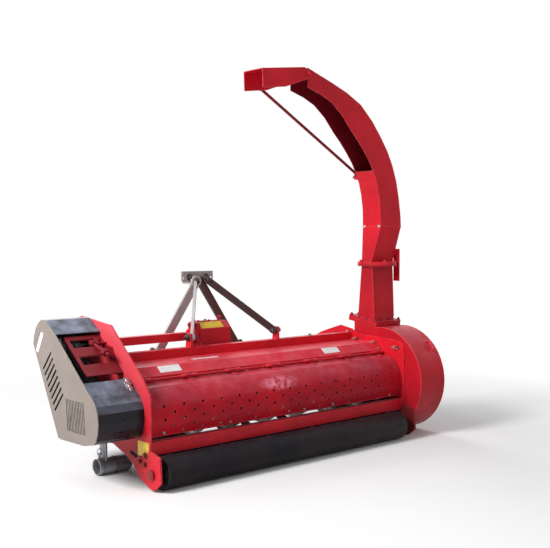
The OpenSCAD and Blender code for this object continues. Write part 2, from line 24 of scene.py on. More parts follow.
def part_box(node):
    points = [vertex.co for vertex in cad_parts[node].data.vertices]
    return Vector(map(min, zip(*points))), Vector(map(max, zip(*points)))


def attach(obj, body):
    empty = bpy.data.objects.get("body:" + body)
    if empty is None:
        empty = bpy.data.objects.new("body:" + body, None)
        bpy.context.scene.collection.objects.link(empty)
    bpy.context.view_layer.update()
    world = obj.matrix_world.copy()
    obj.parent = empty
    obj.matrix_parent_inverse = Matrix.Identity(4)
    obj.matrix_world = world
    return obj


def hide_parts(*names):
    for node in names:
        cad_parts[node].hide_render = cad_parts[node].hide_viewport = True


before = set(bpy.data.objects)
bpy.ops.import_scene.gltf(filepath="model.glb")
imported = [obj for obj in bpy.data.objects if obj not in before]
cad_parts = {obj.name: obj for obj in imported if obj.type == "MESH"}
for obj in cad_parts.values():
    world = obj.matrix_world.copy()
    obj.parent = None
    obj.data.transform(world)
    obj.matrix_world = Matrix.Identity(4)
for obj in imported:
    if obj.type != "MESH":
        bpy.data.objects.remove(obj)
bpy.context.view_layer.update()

log = logging.getLogger("harvester")

Pair = tuple[float, float]
Point = tuple[float, float, float]
Colour = tuple[float, float, float]
Piece = bpy.types.Object
Socket = bpy.types.NodeSocket
Inputs = dict[str | int, object]
Seats = list[tuple[Vector, Vector]]

MM = 0.001
X, Y, Z = Vector((1, 0, 0)), Vector((0, 1, 0)), Vector((0, 0, 1))
PURE_WHITE = (1.0, 1.0, 1.0, 1.0)


class Body(Enum):
    """The bodies that a piece can ride on."""

    FRAME = "frame"
    PTO = "pto"
    ROLLER = "roller"
    COVER = "cover"
    SPOUT = "spout_turn"
    FLAP = "deflector"


class Slot(Enum):
    """The record's material slots."""

    RED = "red_paint"
    GUARD = "guard_paint"
    RIM = "guard_rim_paint"
    ROLLER = "roller_paint"
    STEEL = "bare_steel"
    WORN = "worn_steel"
    MAST = "mast_steel"
    BELT = "belt_rubber"


@dataclass
class Datum:
    """Turns machine millimetres into the shared frame's metres."""

    left_plate_x: float = -920.0
    left_plate_rear: float = -190.0

    def __post_init__(self) -> None:
        """Read the shift from the left end plate's box."""
        low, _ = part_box("end_plate_left")
        self.shift = Vector((low.x - self.left_plate_x * MM, low.y - self.left_plate_rear * MM, 0.0))

    def spot(self, x: float, y: float, z: float) -> Vector:
        """Place a machine point in the shared frame.

        Args:
            x: millimetres to the machine's right.
            y: millimetres forward of the auger axis.
            z: millimetres above the ground.

        Returns:
            The point in metres.
        """
        return Vector((x, y, z)) * MM + self.shift


spot = Datum().spot


def circle(
    centre: Vector, radius: float, count: int, first: Vector = Y, second: Vector = Z, start: float = 0.0,
) -> list[Vector]:
    """Space points evenly round a circle.

    Args:
        centre: the circle's centre in metres.
        radius: its radius in metres.
        count: how many points it has.
        first: the direction in which angles start.
        second: the direction a quarter turn on.
        start: the first point's angle in radians.

    Returns:
        The points in order.
    """
    angles = [start + math.tau * i / count for i in range(count)]
    return [centre + (first * math.cos(a) + second * math.sin(a)) * radius for a in angles]


# ------------------------------------------------------------------ finishes
class Wiring:
    """Adds nodes to a node tree and links them."""

    def __init__(self, tree: bpy.types.NodeTree) -> None:
        """Take hold of a tree's nodes and links."""
        self.nodes = tree.nodes
        self.links = tree.links

    def add(self, kind: str, inputs: Inputs | None = None, **options: object) -> bpy.types.Node:
        """Add a node, set its options and feed its inputs.

        Args:
            kind: the node's type, without its usual beginning.
            inputs: sockets to link and values to write, by the input's name or number.
            options: the node's own settings.

        Returns:
            The node.
        """
        node = self.nodes.new(f"ShaderNode{kind}")
        for option, value in options.items():
            setattr(node, option, value)
        for key, value in (inputs or {}).items():
            self.feed(node, key, value)
        return node

    def feed(self, node: bpy.types.Node, key: str | int, value: object) -> None:
        """Link a socket to a node's input, or write a value into it.

        Args:
            node: the node.
            key: the input's name or number.
            value: the socket or the value.
        """
        if isinstance(value, Socket):
            self.links.new(value, node.inputs[key])
        else:
            node.inputs[key].default_value = value

    def maths(self, kind: str, a: Socket, b: Socket | float) -> Socket:
        """Combine two values and hold the result between 0 and 1.

        Args:
            kind: the operation's name.
            a: the first value.
            b: the second value.

        Returns:
            The result's socket.
        """
        return self.add("Math", {0: a, 1: b}, operation=kind, use_clamp=True).outputs[0]

    def product(self, first: Socket, *others: Socket | float) -> Socket:
        """Multiply masks by each other.

        Args:
            first: the first mask.
            others: the masks or numbers that it is multiplied by.

        Returns:
            The product's socket.
        """
        for other in others:
            first = self.maths("MULTIPLY", first, other)
        return first


class Graph(Wiring):
    """Wires the nodes of one material."""

    def __init__(self, name: str) -> None:
        """Start a material.

        Args:
            name: the material's name.
        """
        self.material = bpy.data.materials.new(name)
        self.material.use_nodes = True
        super().__init__(self.material.node_tree)
        self.shader = self.nodes["Principled BSDF"]
        place = self.add("TexCoord")
        self.coords = place.outputs["Object"]
        self.facing = place.outputs["Normal"]
        self.true_normal = self.add("NewGeometry").outputs["True Normal"]

    def noise(self, scale: float, detail: float = 4.0, stretch: Point = (1.0, 1.0, 1.0)) -> Socket:
        """Add a noise pattern on object coordinates.

        Args:
            scale: lumps per metre.
            detail: octaves.
            stretch: scale along each axis.

        Returns:
            The pattern's factor socket.
        """
        mapping = self.add("Mapping", {"Vector": self.coords, "Scale": stretch})
        source = {"Vector": mapping.outputs["Vector"], "Scale": scale, "Detail": detail}
        return self.add("TexNoise", source).outputs["Fac"]

    def spread(
        self, value: Socket, low: float, high: float, to_low: float = 0.0, to_high: float = 1.0,
    ) -> Socket:
        """Stretch a value from one range to another, held at the ends.

        Args:
            value: the socket to stretch.
            low: input taken as the start.
            high: input taken as the end.
            to_low: result at the start.
            to_high: result at the end.

        Returns:
            The stretched value's socket.
        """
        ranges = {"Value": value, "From Min": low, "From Max": high, "To Min": to_low, "To Max": to_high}
        return self.add("MapRange", ranges).outputs["Result"]

    def vector(self, kind: str, a: Socket, b: Socket | Point | Vector | None = None) -> bpy.types.Node:
        """Work on a vector.

        Args:
            kind: the operation's name.
            a: the vector.
            b: the second vector, if the operation takes one.

        Returns:
            The node.
        """
        return self.add("VectorMath", {0: a} if b is None else {0: a, 1: b}, operation=kind)

    def layer(self, under: Socket | Colour, colour: Colour, mask: Socket) -> Socket:
        """Lay one colour over another through a mask.

        Args:
            under: the colour below.
            colour: the colour on top.
            mask: how much of the top colour shows.

        Returns:
            The mixed colour's socket.
        """
        below = (*under, 1.0) if isinstance(under, tuple) else under
        mixed = {"Factor": mask, "A": below, "B": (*colour, 1.0)}
        return self.add("Mix", mixed, data_type="RGBA").outputs["Result"]

    def edges(self, radius: float) -> Socket:
        """Find the outer edges of a solid.

        Args:
            radius: how wide the edge band is, in metres.

        Returns:
            A socket near 1 on an edge and 0 elsewhere.
        """
        rounded = self.add("Bevel", {"Radius": radius}, samples=4).outputs["Normal"]
        flatness = self.vector("DOT_PRODUCT", rounded, self.true_normal).outputs["Value"]
        return self.spread(flatness, 0.97, 0.80)

    def axis(self, vector: Socket, letter: str) -> Socket:
        """Split one axis off a vector."""
        return self.add("SeparateXYZ", {0: vector}).outputs[letter]

    def grain(self, height: Socket, depth: float, strength: float) -> None:
        """Raise the surface by a pattern.

        Args:
            height: the pattern.
            depth: the relief in metres.
            strength: how much of it acts, from 0 to 1.
        """
        bump = self.add("Bump", {"Height": height, "Distance": depth, "Strength": strength})
        self.feed(self.shader, "Normal", bump.outputs["Normal"])

    def show(self, colour: Socket, roughness: Socket) -> bpy.types.Material:
        """Plug the finished colour and roughness in.

        Args:
            colour: the colour.
            roughness: the roughness.

        Returns:
            The material.
        """
        self.feed(self.shader, "Base Color", colour)
        self.feed(self.shader, "Roughness", roughness)
        return self.material


@dataclass(frozen=True)
class PaintFinish:
    """Sprayed paint that has weathered in a yard, with painted sunlight, sheen and shade in some finishes."""

    name: str
    colour: Colour
    deep: Colour
    worn: Colour
    # dust, and painted sheen on the faces that look up
    dust_and_sheen: Colour
    dust_and_sheen_amount: float = 0.25
    wear: float = 0.6
    worn_edge: float = 0.0045
    rough_low: float = 0.28
    rough_high: float = 0.48
    shine: float = 0.16
    # a tint laid over the paint, growing towards the bottom
    low_tint: Colour = (0.10, 0.045, 0.03)
    low_tint_foot: float = 0.02
    low_tint_top: float = 0.42
    low_tint_amount: float = 0.45
    patch: Point | None = None
    patch_size: float = 0.2
    patch_squash: Point = (1.0, 1.0, 1.0)
    # painted shade on the spout's inner faces
    shade_lining: Colour | None = None
    shade_lining_amount: float = 0.85
    shade_lining_start: Point = (0.0, 110.0, 1612.0)
    shade_lining_half: float = 0.0735
    # painted sunlight on the faces turned towards the sun
    sunlit_tint: Colour = (0.88, 0.19, 0.23)
    painted_sun_amount: float = 0.0
    painted_sun_rise: Pair = (0.30, 0.80)
    sunward: Point = (-0.95, 0.0, 0.3)

    def build(self) -> bpy.types.Material:
        """Make the paint's material.

        Returns:
            The material.
        """
        g = Graph(self.name)
        tone = g.layer(self.colour, self.deep, g.spread(g.noise(2.6, 5.0), 0.35, 0.68))
        streaks = g.spread(g.noise(9.0, 4.0, (1.0, 1.0, 0.18)), 0.52, 0.78, 0.0, 0.35)
        tone = g.layer(tone, self.deep, streaks)
        # painted sunlight: faces turned towards the sun are lightened to a pink tint
        if self.painted_sun_amount:
            tone = g.layer(tone, self.sunlit_tint, self._painted_sunlight(g))
        # dust and painted sheen: faces that look up are lightened, as the sky's reflection would light them
        tone = g.layer(tone, self.dust_and_sheen, self._dust_and_sheen(g))
        # tint towards the bottom, which darkens the red paints
        tone = g.layer(tone, self.low_tint, self._towards_foot(g))
        if self.patch is not None:
            tone = g.layer(tone, self.dust_and_sheen, self._scuffed(g))
        # painted shade darkening the spout's inner faces
        if self.shade_lining is not None:
            tone = g.layer(tone, self.shade_lining, self._inner_shade(g))
        flecks = g.spread(g.noise(160.0, 3.0), 0.66, 0.74, 0.0, 0.22)
        tone = g.layer(tone, self.dust_and_sheen, flecks)
        broken = g.spread(g.noise(34.0, 5.0), 0.38, 0.62)
        rubbed = g.product(g.edges(self.worn_edge), g.product(broken, self.wear))
        tone = g.layer(tone, self.worn, rubbed)
        rough = g.spread(g.noise(20.0, 5.0), 0.3, 0.7, self.rough_low, self.rough_high)
        g.grain(g.noise(240.0, 2.0), 0.0006, 0.10)
        g.feed(g.shader, "Specular IOR Level", self.shine)
        return g.show(tone, rough)

    def _painted_sunlight(self, g: Graph) -> Socket:
        """Make the mask of painted sunlight, which lightens the higher faces that are turned towards the sun.

        Args:
            g: the material's graph.

        Returns:
            The mask's socket.
        """
        towards = g.vector("DOT_PRODUCT", g.facing, self.sunward).outputs["Value"]
        sunny = g.spread(towards, 0.35, 0.95)
        mottled = g.spread(g.noise(5.0, 5.0), 0.25, 0.75, 0.55, 1.0)
        raised = g.spread(g.axis(g.coords, "Z"), *self.painted_sun_rise, 0.0, self.painted_sun_amount)
        return g.product(sunny, mottled, raised)

    def _dust_and_sheen(self, g: Graph) -> Socket:
        """Make the mask of dust and painted sheen on the faces that look up, lightening their tops as the
        sky's reflection would.

        Args:
            g: the material's graph.

        Returns:
            The mask's socket.
        """
        up = g.spread(g.axis(g.true_normal, "Z"), 0.25, 0.95)
        film = g.spread(g.noise(14.0, 6.0), 0.35, 0.75, 0.25, 1.0)
        return g.product(up, film, self.dust_and_sheen_amount)

    def _towards_foot(self, g: Graph) -> Socket:
        """Make the mask that tints the paint towards the bottom, darkening the red parts.

        Args:
            g: the material's graph.

        Returns:
            The mask's socket.
        """
        low = g.spread(g.axis(g.coords, "Z"), self.low_tint_top, self.low_tint_foot)
        blotches = g.spread(g.noise(7.0, 6.0), 0.30, 0.70)
        return g.product(low, blotches, self.low_tint_amount)

    def _scuffed(self, g: Graph) -> Socket:
        """Make the mask of a rubbed patch around one place.

        Args:
            g: the material's graph.

        Returns:
            The mask's socket.
        """
        offset = g.vector("SUBTRACT", g.coords, spot(*self.patch)).outputs["Vector"]
        squashed = g.vector("MULTIPLY", offset, self.patch_squash).outputs["Vector"]
        away = g.vector("LENGTH", squashed).outputs["Value"]
        near = g.spread(away, self.patch_size, self.patch_size * 0.35)
        return g.product(near, g.spread(g.noise(30.0, 6.0), 0.38, 0.56, 0.0, 0.85))

    def _inner_shade(self, g: Graph) -> Socket:
        """Make the mask of painted shade on the spout's inner faces.

        Args:
            g: the material's graph.

        Returns:
            The mask's socket.
        """
        middle = spot(*self.shade_lining_start)
        offset = g.vector("SUBTRACT", g.coords, middle).outputs["Vector"]
        size = g.vector("ABSOLUTE", offset).outputs["Vector"]
        within = g.maths("LESS_THAN", g.axis(size, "Y"), self.shade_lining_half)
        turned = g.vector("DOT_PRODUCT", g.facing, (-0.7, 0.0, -0.7)).outputs["Value"]
        inward = g.maths("GREATER_THAN", turned, -0.05)
        high = g.maths("GREATER_THAN", g.axis(g.coords, "Z"), middle.z)
        return g.product(within, inward, high, self.shade_lining_amount)


@dataclass(frozen=True)
class SteelFinish:
    """Bare or thinly painted steel with scale, scratches and rust."""

    name: str
    colour: Colour
    deep: Colour
    rust: Colour
    rust_amount: float = 0.3
    metallic: float = 0.85
    rough_low: float = 0.30
    rough_high: float = 0.55
    scratch: Point = (1.0, 1.0, 1.0)
    wear: float = 0.5
    worn_edge: float = 0.003
    worn: Colour = (0.62, 0.60, 0.56)

    def build(self) -> bpy.types.Material:
        """Make the steel's material.

        Returns:
            The material.
        """
        g = Graph(self.name)
        tone = g.layer(self.colour, self.deep, g.spread(g.noise(6.0, 6.0), 0.32, 0.70))
        lines = g.spread(g.noise(60.0, 4.0, self.scratch), 0.45, 0.75, 0.0, 0.5)
        tone = g.layer(tone, self.worn, g.product(lines, self.wear))
        rusty = g.spread(g.noise(16.0, 7.0), 0.50, 0.72, 0.0, self.rust_amount)
        tone = g.layer(tone, self.rust, rusty)
        rubbed = g.product(g.edges(self.worn_edge), g.spread(g.noise(30.0), 0.35, 0.6, 0.0, self.wear))
        tone = g.layer(tone, self.worn, rubbed)
        rough = g.spread(g.noise(26.0, 6.0), 0.3, 0.7, self.rough_low, self.rough_high)
        g.grain(g.noise(120.0, 5.0), 0.0005, 0.22)
        g.feed(g.shader, "Metallic", self.metallic)
        return g.show(tone, rough)


@dataclass(frozen=True)
class SheetFinish:
    """Plain sheet stuck on or moulded, such as a blank plate or rubber."""

    name: str
    colour: Colour
    shade: Colour
    rough: float = 0.5
    grain: float = 0.08
    shine: float = 0.5

    def build(self) -> bpy.types.Material:
        """Make the sheet's material.

        Returns:
            The material.
        """
        g = Graph(self.name)
        tone = g.layer(self.colour, self.shade, g.spread(g.noise(24.0, 6.0), 0.40, 0.72, 0.0, 0.8))
        rough = g.spread(g.noise(50.0), 0.3, 0.7, self.rough - 0.08, self.rough + 0.1)
        g.grain(g.noise(300.0, 3.0), 0.0004, self.grain)
        g.feed(g.shader, "Specular IOR Level", self.shine)
        return g.show(tone, rough)


Finish = PaintFinish | SteelFinish | SheetFinish

CHIPPED_RED: Colour = (0.86, 0.20, 0.22)
# Pale pink for dust, and for painted sheen on the faces that look up.
DUSTY_SHEEN_RED: Colour = (0.86, 0.28, 0.36)
# A dark red laid towards the bottom of the red parts.
RED_LOW_TINT: Colour = (0.09, 0.012, 0.012)

RED = PaintFinish(
    "paint_red", (0.70, 0.012, 0.026), (0.50, 0.007, 0.018), CHIPPED_RED, DUSTY_SHEEN_RED,
    dust_and_sheen_amount=0.36, low_tint=RED_LOW_TINT, low_tint_amount=0.55,
)
# The left end plate's red, with painted sunlight lightening its upper faces that look towards the sun.
RED_SUNLIT = PaintFinish(
    "paint_red_sunlit", (0.62, 0.011, 0.023), (0.44, 0.007, 0.016), CHIPPED_RED, DUSTY_SHEEN_RED,
    dust_and_sheen_amount=0.36, low_tint=RED_LOW_TINT, low_tint_top=0.5, low_tint_amount=0.75, painted_sun_amount=0.55,
)
# A darker copy of the red paint: painted shade on the blower housing, its column and the gearbox.
RED_SHADED_HOUSING = PaintFinish(
    "paint_red_housing_shaded", (0.53, 0.009, 0.020), (0.36, 0.006, 0.015), CHIPPED_RED, DUSTY_SHEEN_RED,
    dust_and_sheen_amount=0.30, low_tint=RED_LOW_TINT, low_tint_amount=0.55,
)
# A darker copy of the red paint: painted shade on the rear cover; its pink tint on faces that look up is
# painted sheen as well as dust.
RED_SHADED_COVER = PaintFinish(
    "paint_red_cover_shaded", (0.50, 0.008, 0.018), (0.30, 0.005, 0.016), CHIPPED_RED, (0.86, 0.28, 0.38),
    dust_and_sheen_amount=0.30, shine=0.1, low_tint=(0.07, 0.008, 0.010), low_tint_amount=0.6,
    patch=(-64, -145, 418), patch_size=0.15, patch_squash=(1.0, 0.6, 3.8),
)
# The spout's red, with painted shade darkening its inner faces.
RED_SPOUT = PaintFinish(
    "paint_red_spout", (0.64, 0.011, 0.024), (0.46, 0.007, 0.017), CHIPPED_RED, DUSTY_SHEEN_RED,
    dust_and_sheen_amount=0.30, low_tint=RED_LOW_TINT, shade_lining=(0.125, 0.006, 0.013),
)
# A darker copy of the red paint: painted shade on parts that sit in shadow, such as the tensioner, the right
# roller arm, the bearings and many bolts.
RED_SHADED = PaintFinish(
    "paint_red_shaded", (0.22, 0.006, 0.013), (0.10, 0.005, 0.009), (0.60, 0.12, 0.13), (0.55, 0.16, 0.18),
    dust_and_sheen_amount=0.12, shine=0.25,
)
GUARD = PaintFinish(
    "paint_guard_grey", (0.262, 0.218, 0.194), (0.200, 0.166, 0.148), (0.60, 0.57, 0.52), (0.46, 0.43, 0.39),
    dust_and_sheen_amount=0.15, rough_low=0.34, rough_high=0.48, low_tint=(0.17, 0.125, 0.10), low_tint_amount=0.30,
)
# The navy rim's pale blue tint on faces that look up is painted sheen as well as dust.
RIM = PaintFinish(
    "paint_guard_navy", (0.006, 0.006, 0.013), (0.010, 0.007, 0.009), (0.34, 0.34, 0.36), (0.36, 0.40, 0.52),
    dust_and_sheen_amount=0.85, wear=0.5, rough_low=0.20, rough_high=0.34, shine=0.22,
    low_tint=(0.045, 0.028, 0.018), low_tint_top=0.36, low_tint_amount=0.6,
)
ROLLER = PaintFinish(
    "paint_roller", (0.006, 0.006, 0.010), (0.016, 0.010, 0.011), (0.13, 0.12, 0.13), (0.05, 0.05, 0.065),
    dust_and_sheen_amount=0.25, wear=0.5, rough_low=0.36, rough_high=0.55, shine=0.1,
    low_tint=(0.026, 0.020, 0.018), low_tint_top=0.20, low_tint_amount=0.6,
)
MAST_DARK = PaintFinish(
    "paint_mast", (0.058, 0.028, 0.028), (0.028, 0.015, 0.017), (0.42, 0.36, 0.33), (0.22, 0.16, 0.15),
    dust_and_sheen_amount=0.25, wear=0.8, rough_low=0.42, rough_high=0.62,
)
# A shaded copy of the mast paint: painted shade on the right leg.
MAST_SHADED = PaintFinish(
    "paint_mast_shaded", (0.145, 0.075, 0.065), (0.070, 0.034, 0.032), (0.42, 0.36, 0.33), (0.30, 0.20, 0.18),
    dust_and_sheen_amount=0.25, wear=0.8, rough_low=0.42, rough_high=0.62,
)
# A sunlit copy of the mast paint: painted sunlight on the left leg and brace.
MAST_SUNLIT = PaintFinish(
    "paint_mast_sunlit", (0.60, 0.58, 0.60), (0.34, 0.30, 0.29), (0.80, 0.79, 0.79), (0.60, 0.57, 0.56),
    dust_and_sheen_amount=0.25, wear=0.6, rough_low=0.34, rough_high=0.5,
)
MAST_GREY = PaintFinish(
    "paint_mast_grey", (0.48, 0.44, 0.42), (0.24, 0.20, 0.185), (0.70, 0.68, 0.66), (0.46, 0.43, 0.41),
    dust_and_sheen_amount=0.25, wear=0.7, rough_low=0.38, rough_high=0.55,
)
STEEL = SteelFinish("steel_bare", (0.40, 0.39, 0.40), (0.20, 0.19, 0.20), (0.20, 0.085, 0.04))
FOOT_STEEL = SteelFinish(
    "steel_foot", (0.36, 0.38, 0.42), (0.20, 0.20, 0.235), (0.25, 0.15, 0.10), 0.3,
    metallic=0.55, rough_low=0.34, rough_high=0.5, scratch=(0.1, 1.0, 1.0),
)
WORN_STEEL = SteelFinish(
    "steel_worn", (0.64, 0.62, 0.60), (0.42, 0.38, 0.35), (0.36, 0.19, 0.11), 0.35,
    rough_low=0.22, rough_high=0.42, scratch=(0.08, 1.0, 1.0), wear=0.7, worn=(0.82, 0.80, 0.78),
)
TROUGH_STEEL = SteelFinish(
    "steel_trough", (0.17, 0.135, 0.13), (0.075, 0.045, 0.045), (0.16, 0.05, 0.03), 0.45, metallic=0.4,
    rough_low=0.34, rough_high=0.55, scratch=(0.08, 1.0, 1.0), wear=0.35, worn=(0.62, 0.55, 0.52),
)
BOLT_STEEL = SteelFinish(
    "steel_bolts", (0.52, 0.48, 0.46), (0.34, 0.29, 0.27), (0.30, 0.13, 0.07), 0.35, rough_low=0.28,
)
STAY_PAINT = PaintFinish(
    "paint_stay", (0.26, 0.010, 0.018), (0.13, 0.008, 0.012), (0.45, 0.16, 0.15), (0.45, 0.12, 0.13),
    dust_and_sheen_amount=0.2,
)
RUBBER = SheetFinish("rubber_belt", (0.010, 0.010, 0.011), (0.022, 0.020, 0.019), 0.75, 0.3, 0.15)
WHITE_BLANK = SheetFinish("blank_white", (0.84, 0.84, 0.85), (0.70, 0.66, 0.66), 0.34)
YELLOW_BLANK = SheetFinish("blank_yellow", (0.74, 0.50, 0.03), (0.55, 0.34, 0.03), 0.40)
# Black for painted shade: the sheet behind the guard's slots and the roller bracket's slot.
SHADE_BLACK = SheetFinish("shade_black", (0.008, 0.006, 0.007), (0.016, 0.012, 0.012), 0.8, 0.1, 0.1)
# Dark brown for the louvre blades: painted shade inside the guard's slots.
LOUVRE_SHADED = SheetFinish("louvre_shaded", (0.050, 0.040, 0.038), (0.085, 0.070, 0.062), 0.6, 0.1, 0.2)


class Paintbox:
    """Builds each finish once and hands it out."""

    def __init__(self) -> None:
        """Start with no finish built."""
        self._built: dict[str, bpy.types.Material] = {}

    def __call__(self, finish: Finish) -> bpy.types.Material:
        """Give the material of a finish.

        Args:
            finish: the finish asked for.

        Returns:
            Its material, made at the first call.
        """
        if finish.name not in self._built:
            self._built[finish.name] = finish.build()
        return self._built[finish.name]


PAINT = Paintbox()


# -------------------------------------------------------------------- bench
class Bench:
    """Shapes primitives with Blender's own operators."""

    @staticmethod
    def clear() -> None:
        """Leave edit mode and deselect everything."""
        if bpy.context.object and bpy.context.object.mode != "OBJECT":
            bpy.ops.object.mode_set(mode="OBJECT")
        bpy.ops.object.select_all(action="DESELECT")

    @classmethod
    def take(cls, obj: Piece) -> None:
        """Make a piece the only one selected, and the active one.

        Args:
            obj: the piece.
        """
        cls.clear()
        bpy.context.view_layer.objects.active = obj
        obj.select_set(True)

    @classmethod
    def edit(cls, obj: Piece, kind: str = "FACE") -> bmesh.types.BMesh:
        """Open a piece in edit mode.

        Args:
            obj: the piece.
            kind: what is selected in it, as Blender names it.

        Returns:
            Its mesh, ready for selecting.
        """
        cls.take(obj)
        bpy.ops.object.mode_set(mode="EDIT")
        bpy.ops.mesh.select_mode(type=kind)
        return bmesh.from_edit_mesh(obj.data)

    @classmethod
    def modify(cls, obj: Piece, kind: str, **options: object) -> None:
        """Give a piece a modifier and apply it.

        Args:
            obj: the piece.
            kind: the modifier's type.
            options: its settings.
        """
        cls.take(obj)
        mod = obj.modifiers.new(kind.lower(), kind)
        for option, value in options.items():
            setattr(mod, option, value)
        bpy.ops.object.modifier_apply(modifier=mod.name)

    @staticmethod
    def settle(name: str) -> Piece:
        """Name the active object and put its place into its mesh.

        Args:
            name: the piece's name.

        Returns:
            The piece, at the origin, unturned and unscaled.
        """
        obj = bpy.context.object
        obj.name = name
        bpy.ops.object.transform_apply(location=True, rotation=True, scale=True)
        return obj

    @staticmethod
    def stand(obj: Piece, place: Vector, normal: Vector, along: Vector | None = None) -> Piece:
        """Move a piece modelled at the origin, on +Z, to its seat.

        Args:
            obj: the piece.
            place: where its foot goes.
            normal: the direction that it stands in.
            along: the direction that its X side takes, where that matters.

        Returns:
            The piece.
        """
        up = normal.normalized()
        if along is None:
            turn = up.to_track_quat("Z", "Y").to_matrix().to_4x4()
        else:
            run = (along - up * along.dot(up)).normalized()
            turn = Matrix((run, up.cross(run), up)).transposed().to_4x4()
        obj.data.transform(Matrix.Translation(place) @ turn)
        return obj

    @classmethod
    def block(cls, name: str, low: Vector, high: Vector, bevel: float = 0.0015) -> Piece:
        """Make a block with eased edges between two corners.

        Args:
            name: the piece's name.
            low: its lowest corner.
            high: its highest corner.
            bevel: the width of the eased edges in metres.

        Returns:
            The block.
        """
        cls.clear()
        bpy.ops.mesh.primitive_cube_add(size=1, location=(low + high) / 2, scale=high - low)
        return cls.ease(cls.settle(name), bevel)

    @classmethod
    def rod(cls, name: str, start: Vector, end: Vector, radius: float, sides: int = 24) -> Piece:
        """Make a round bar between two points.

        Args:
            name: the piece's name.
            start: the middle of one end.
            end: the middle of the other end.
            radius: the bar's radius in metres.
            sides: how many faces go round it.

        Returns:
            The bar.
        """
        cls.clear()
        run = end - start
        bpy.ops.mesh.primitive_cylinder_add(
            vertices=sides, radius=radius, depth=run.length, location=(start + end) / 2,
            rotation=run.to_track_quat("Z", "Y").to_euler())
        return cls.settle(name)

    @classmethod
    def ease(cls, obj: Piece, width: float, segments: int = 2) -> Piece:
        """Round a piece's sharp edges with an applied bevel.

        Args:
            obj: the piece.
            width: the bevel's width in metres, or 0 for none.
            segments: steps across the bevel.

        Returns:
            The piece.
        """
        if width > 0:
            cls.modify(obj, "BEVEL", width=width, segments=segments, limit_method="ANGLE",
                       angle_limit=math.radians(35))
        return obj

    @classmethod
    def step(cls, obj: Piece, normal: Vector, inset: float, rise: float) -> None:
        """Inset the faces that look one way and push them out or in.

        Args:
            obj: the piece.
            normal: the direction that the faces look.
            inset: how far the new faces stand in from the old edge.
            rise: how far they move along the direction.
        """
        mesh = cls.edit(obj)
        way = normal.normalized()
        for face in mesh.faces:
            face.select_set(face.normal.dot(way) > 0.95)
        mesh.select_flush_mode()
        bmesh.update_edit_mesh(obj.data)
        bpy.ops.mesh.inset(thickness=inset)
        bpy.ops.mesh.extrude_region_move(TRANSFORM_OT_translate={"value": way * rise})
        bpy.ops.object.mode_set(mode="OBJECT")

    @classmethod
    def pare(cls, obj: Piece, cuts: list[tuple[Vector, Vector]]) -> None:
        """Cut away what lies past each plane and close the cuts.

        Args:
            obj: the piece.
            cuts: pairs of a point on a plane and the direction that is cut away.
        """
        cls.edit(obj)
        for place, way in cuts:
            bpy.ops.mesh.select_all(action="SELECT")
            bpy.ops.mesh.bisect(plane_co=place, plane_no=way, use_fill=True, clear_outer=True)
        bpy.ops.object.mode_set(mode="OBJECT")

    @classmethod
    def shell(cls, obj: Piece, mouths: list[Vector], thick: float) -> None:
        """Open a closed piece on some sides and give what is left a wall.

        Args:
            obj: the piece.
            mouths: the directions that the removed faces look in.
            thick: the wall's thickness in metres, kept inside the old surface.
        """
        mesh = cls.edit(obj)
        for face in mesh.faces:
            face.select_set(any(face.normal.dot(way.normalized()) > 0.97 for way in mouths))
        bmesh.update_edit_mesh(obj.data)
        bpy.ops.mesh.delete(type="FACE")
        bpy.ops.object.mode_set(mode="OBJECT")
        cls.modify(obj, "SOLIDIFY", thickness=thick, offset=-1.0, use_even_offset=True)

    @classmethod
    def tablet(
        cls, name: str, middle: Vector, normal: Vector, along: Vector, length: float, width: float,
        thick: float,
    ) -> Piece:
        """Lay a thin square-cornered plate with a raised edge on a surface.

        Args:
            name: the piece's name.
            middle: the middle of its foot.
            normal: the direction that it faces.
            along: the direction of its length.
            length: its length in metres.
            width: its width in metres.
            thick: its thickness in metres.

        Returns:
            The plate.
        """
        half = Vector((length / 2, width / 2, 0))
        obj = cls.block(name, -half, half + Z * thick, thick * 0.3)
        cls.step(obj, Z, min(length, width) * 0.08, thick * 0.25)
        return cls.stand(obj, middle, normal, along)

    @classmethod
    def oblong(
        cls, name: str, middle: Vector, normal: Vector, along: Vector, length: float, width: float,
        thick: float,
    ) -> Piece:
        """Make a thin plate with two round ends.

        Args:
            name: the piece's name.
            middle: the middle of the plate's seat.
            normal: the direction that the plate faces.
            along: the direction of its length.
            length: its length in metres.
            width: its width in metres.
            thick: its thickness in metres.

        Returns:
            The plate.
        """
        obj = cls.rod(name, Vector(), Z * thick, width / 2, 28)
        for sign in (1, -1):
            mesh = cls.edit(obj, "VERT")
            for vert in mesh.verts:
                vert.select_set(vert.co.x * sign > 1e-5)
            mesh.select_flush_mode()
            bmesh.update_edit_mesh(obj.data)
            bpy.ops.transform.translate(value=(sign * (length - width) / 2, 0, 0))
        bpy.ops.object.mode_set(mode="OBJECT")
        cls.ease(obj, min(thick, 0.002) * 0.4, 1)
        return cls.stand(obj, middle, normal, along)

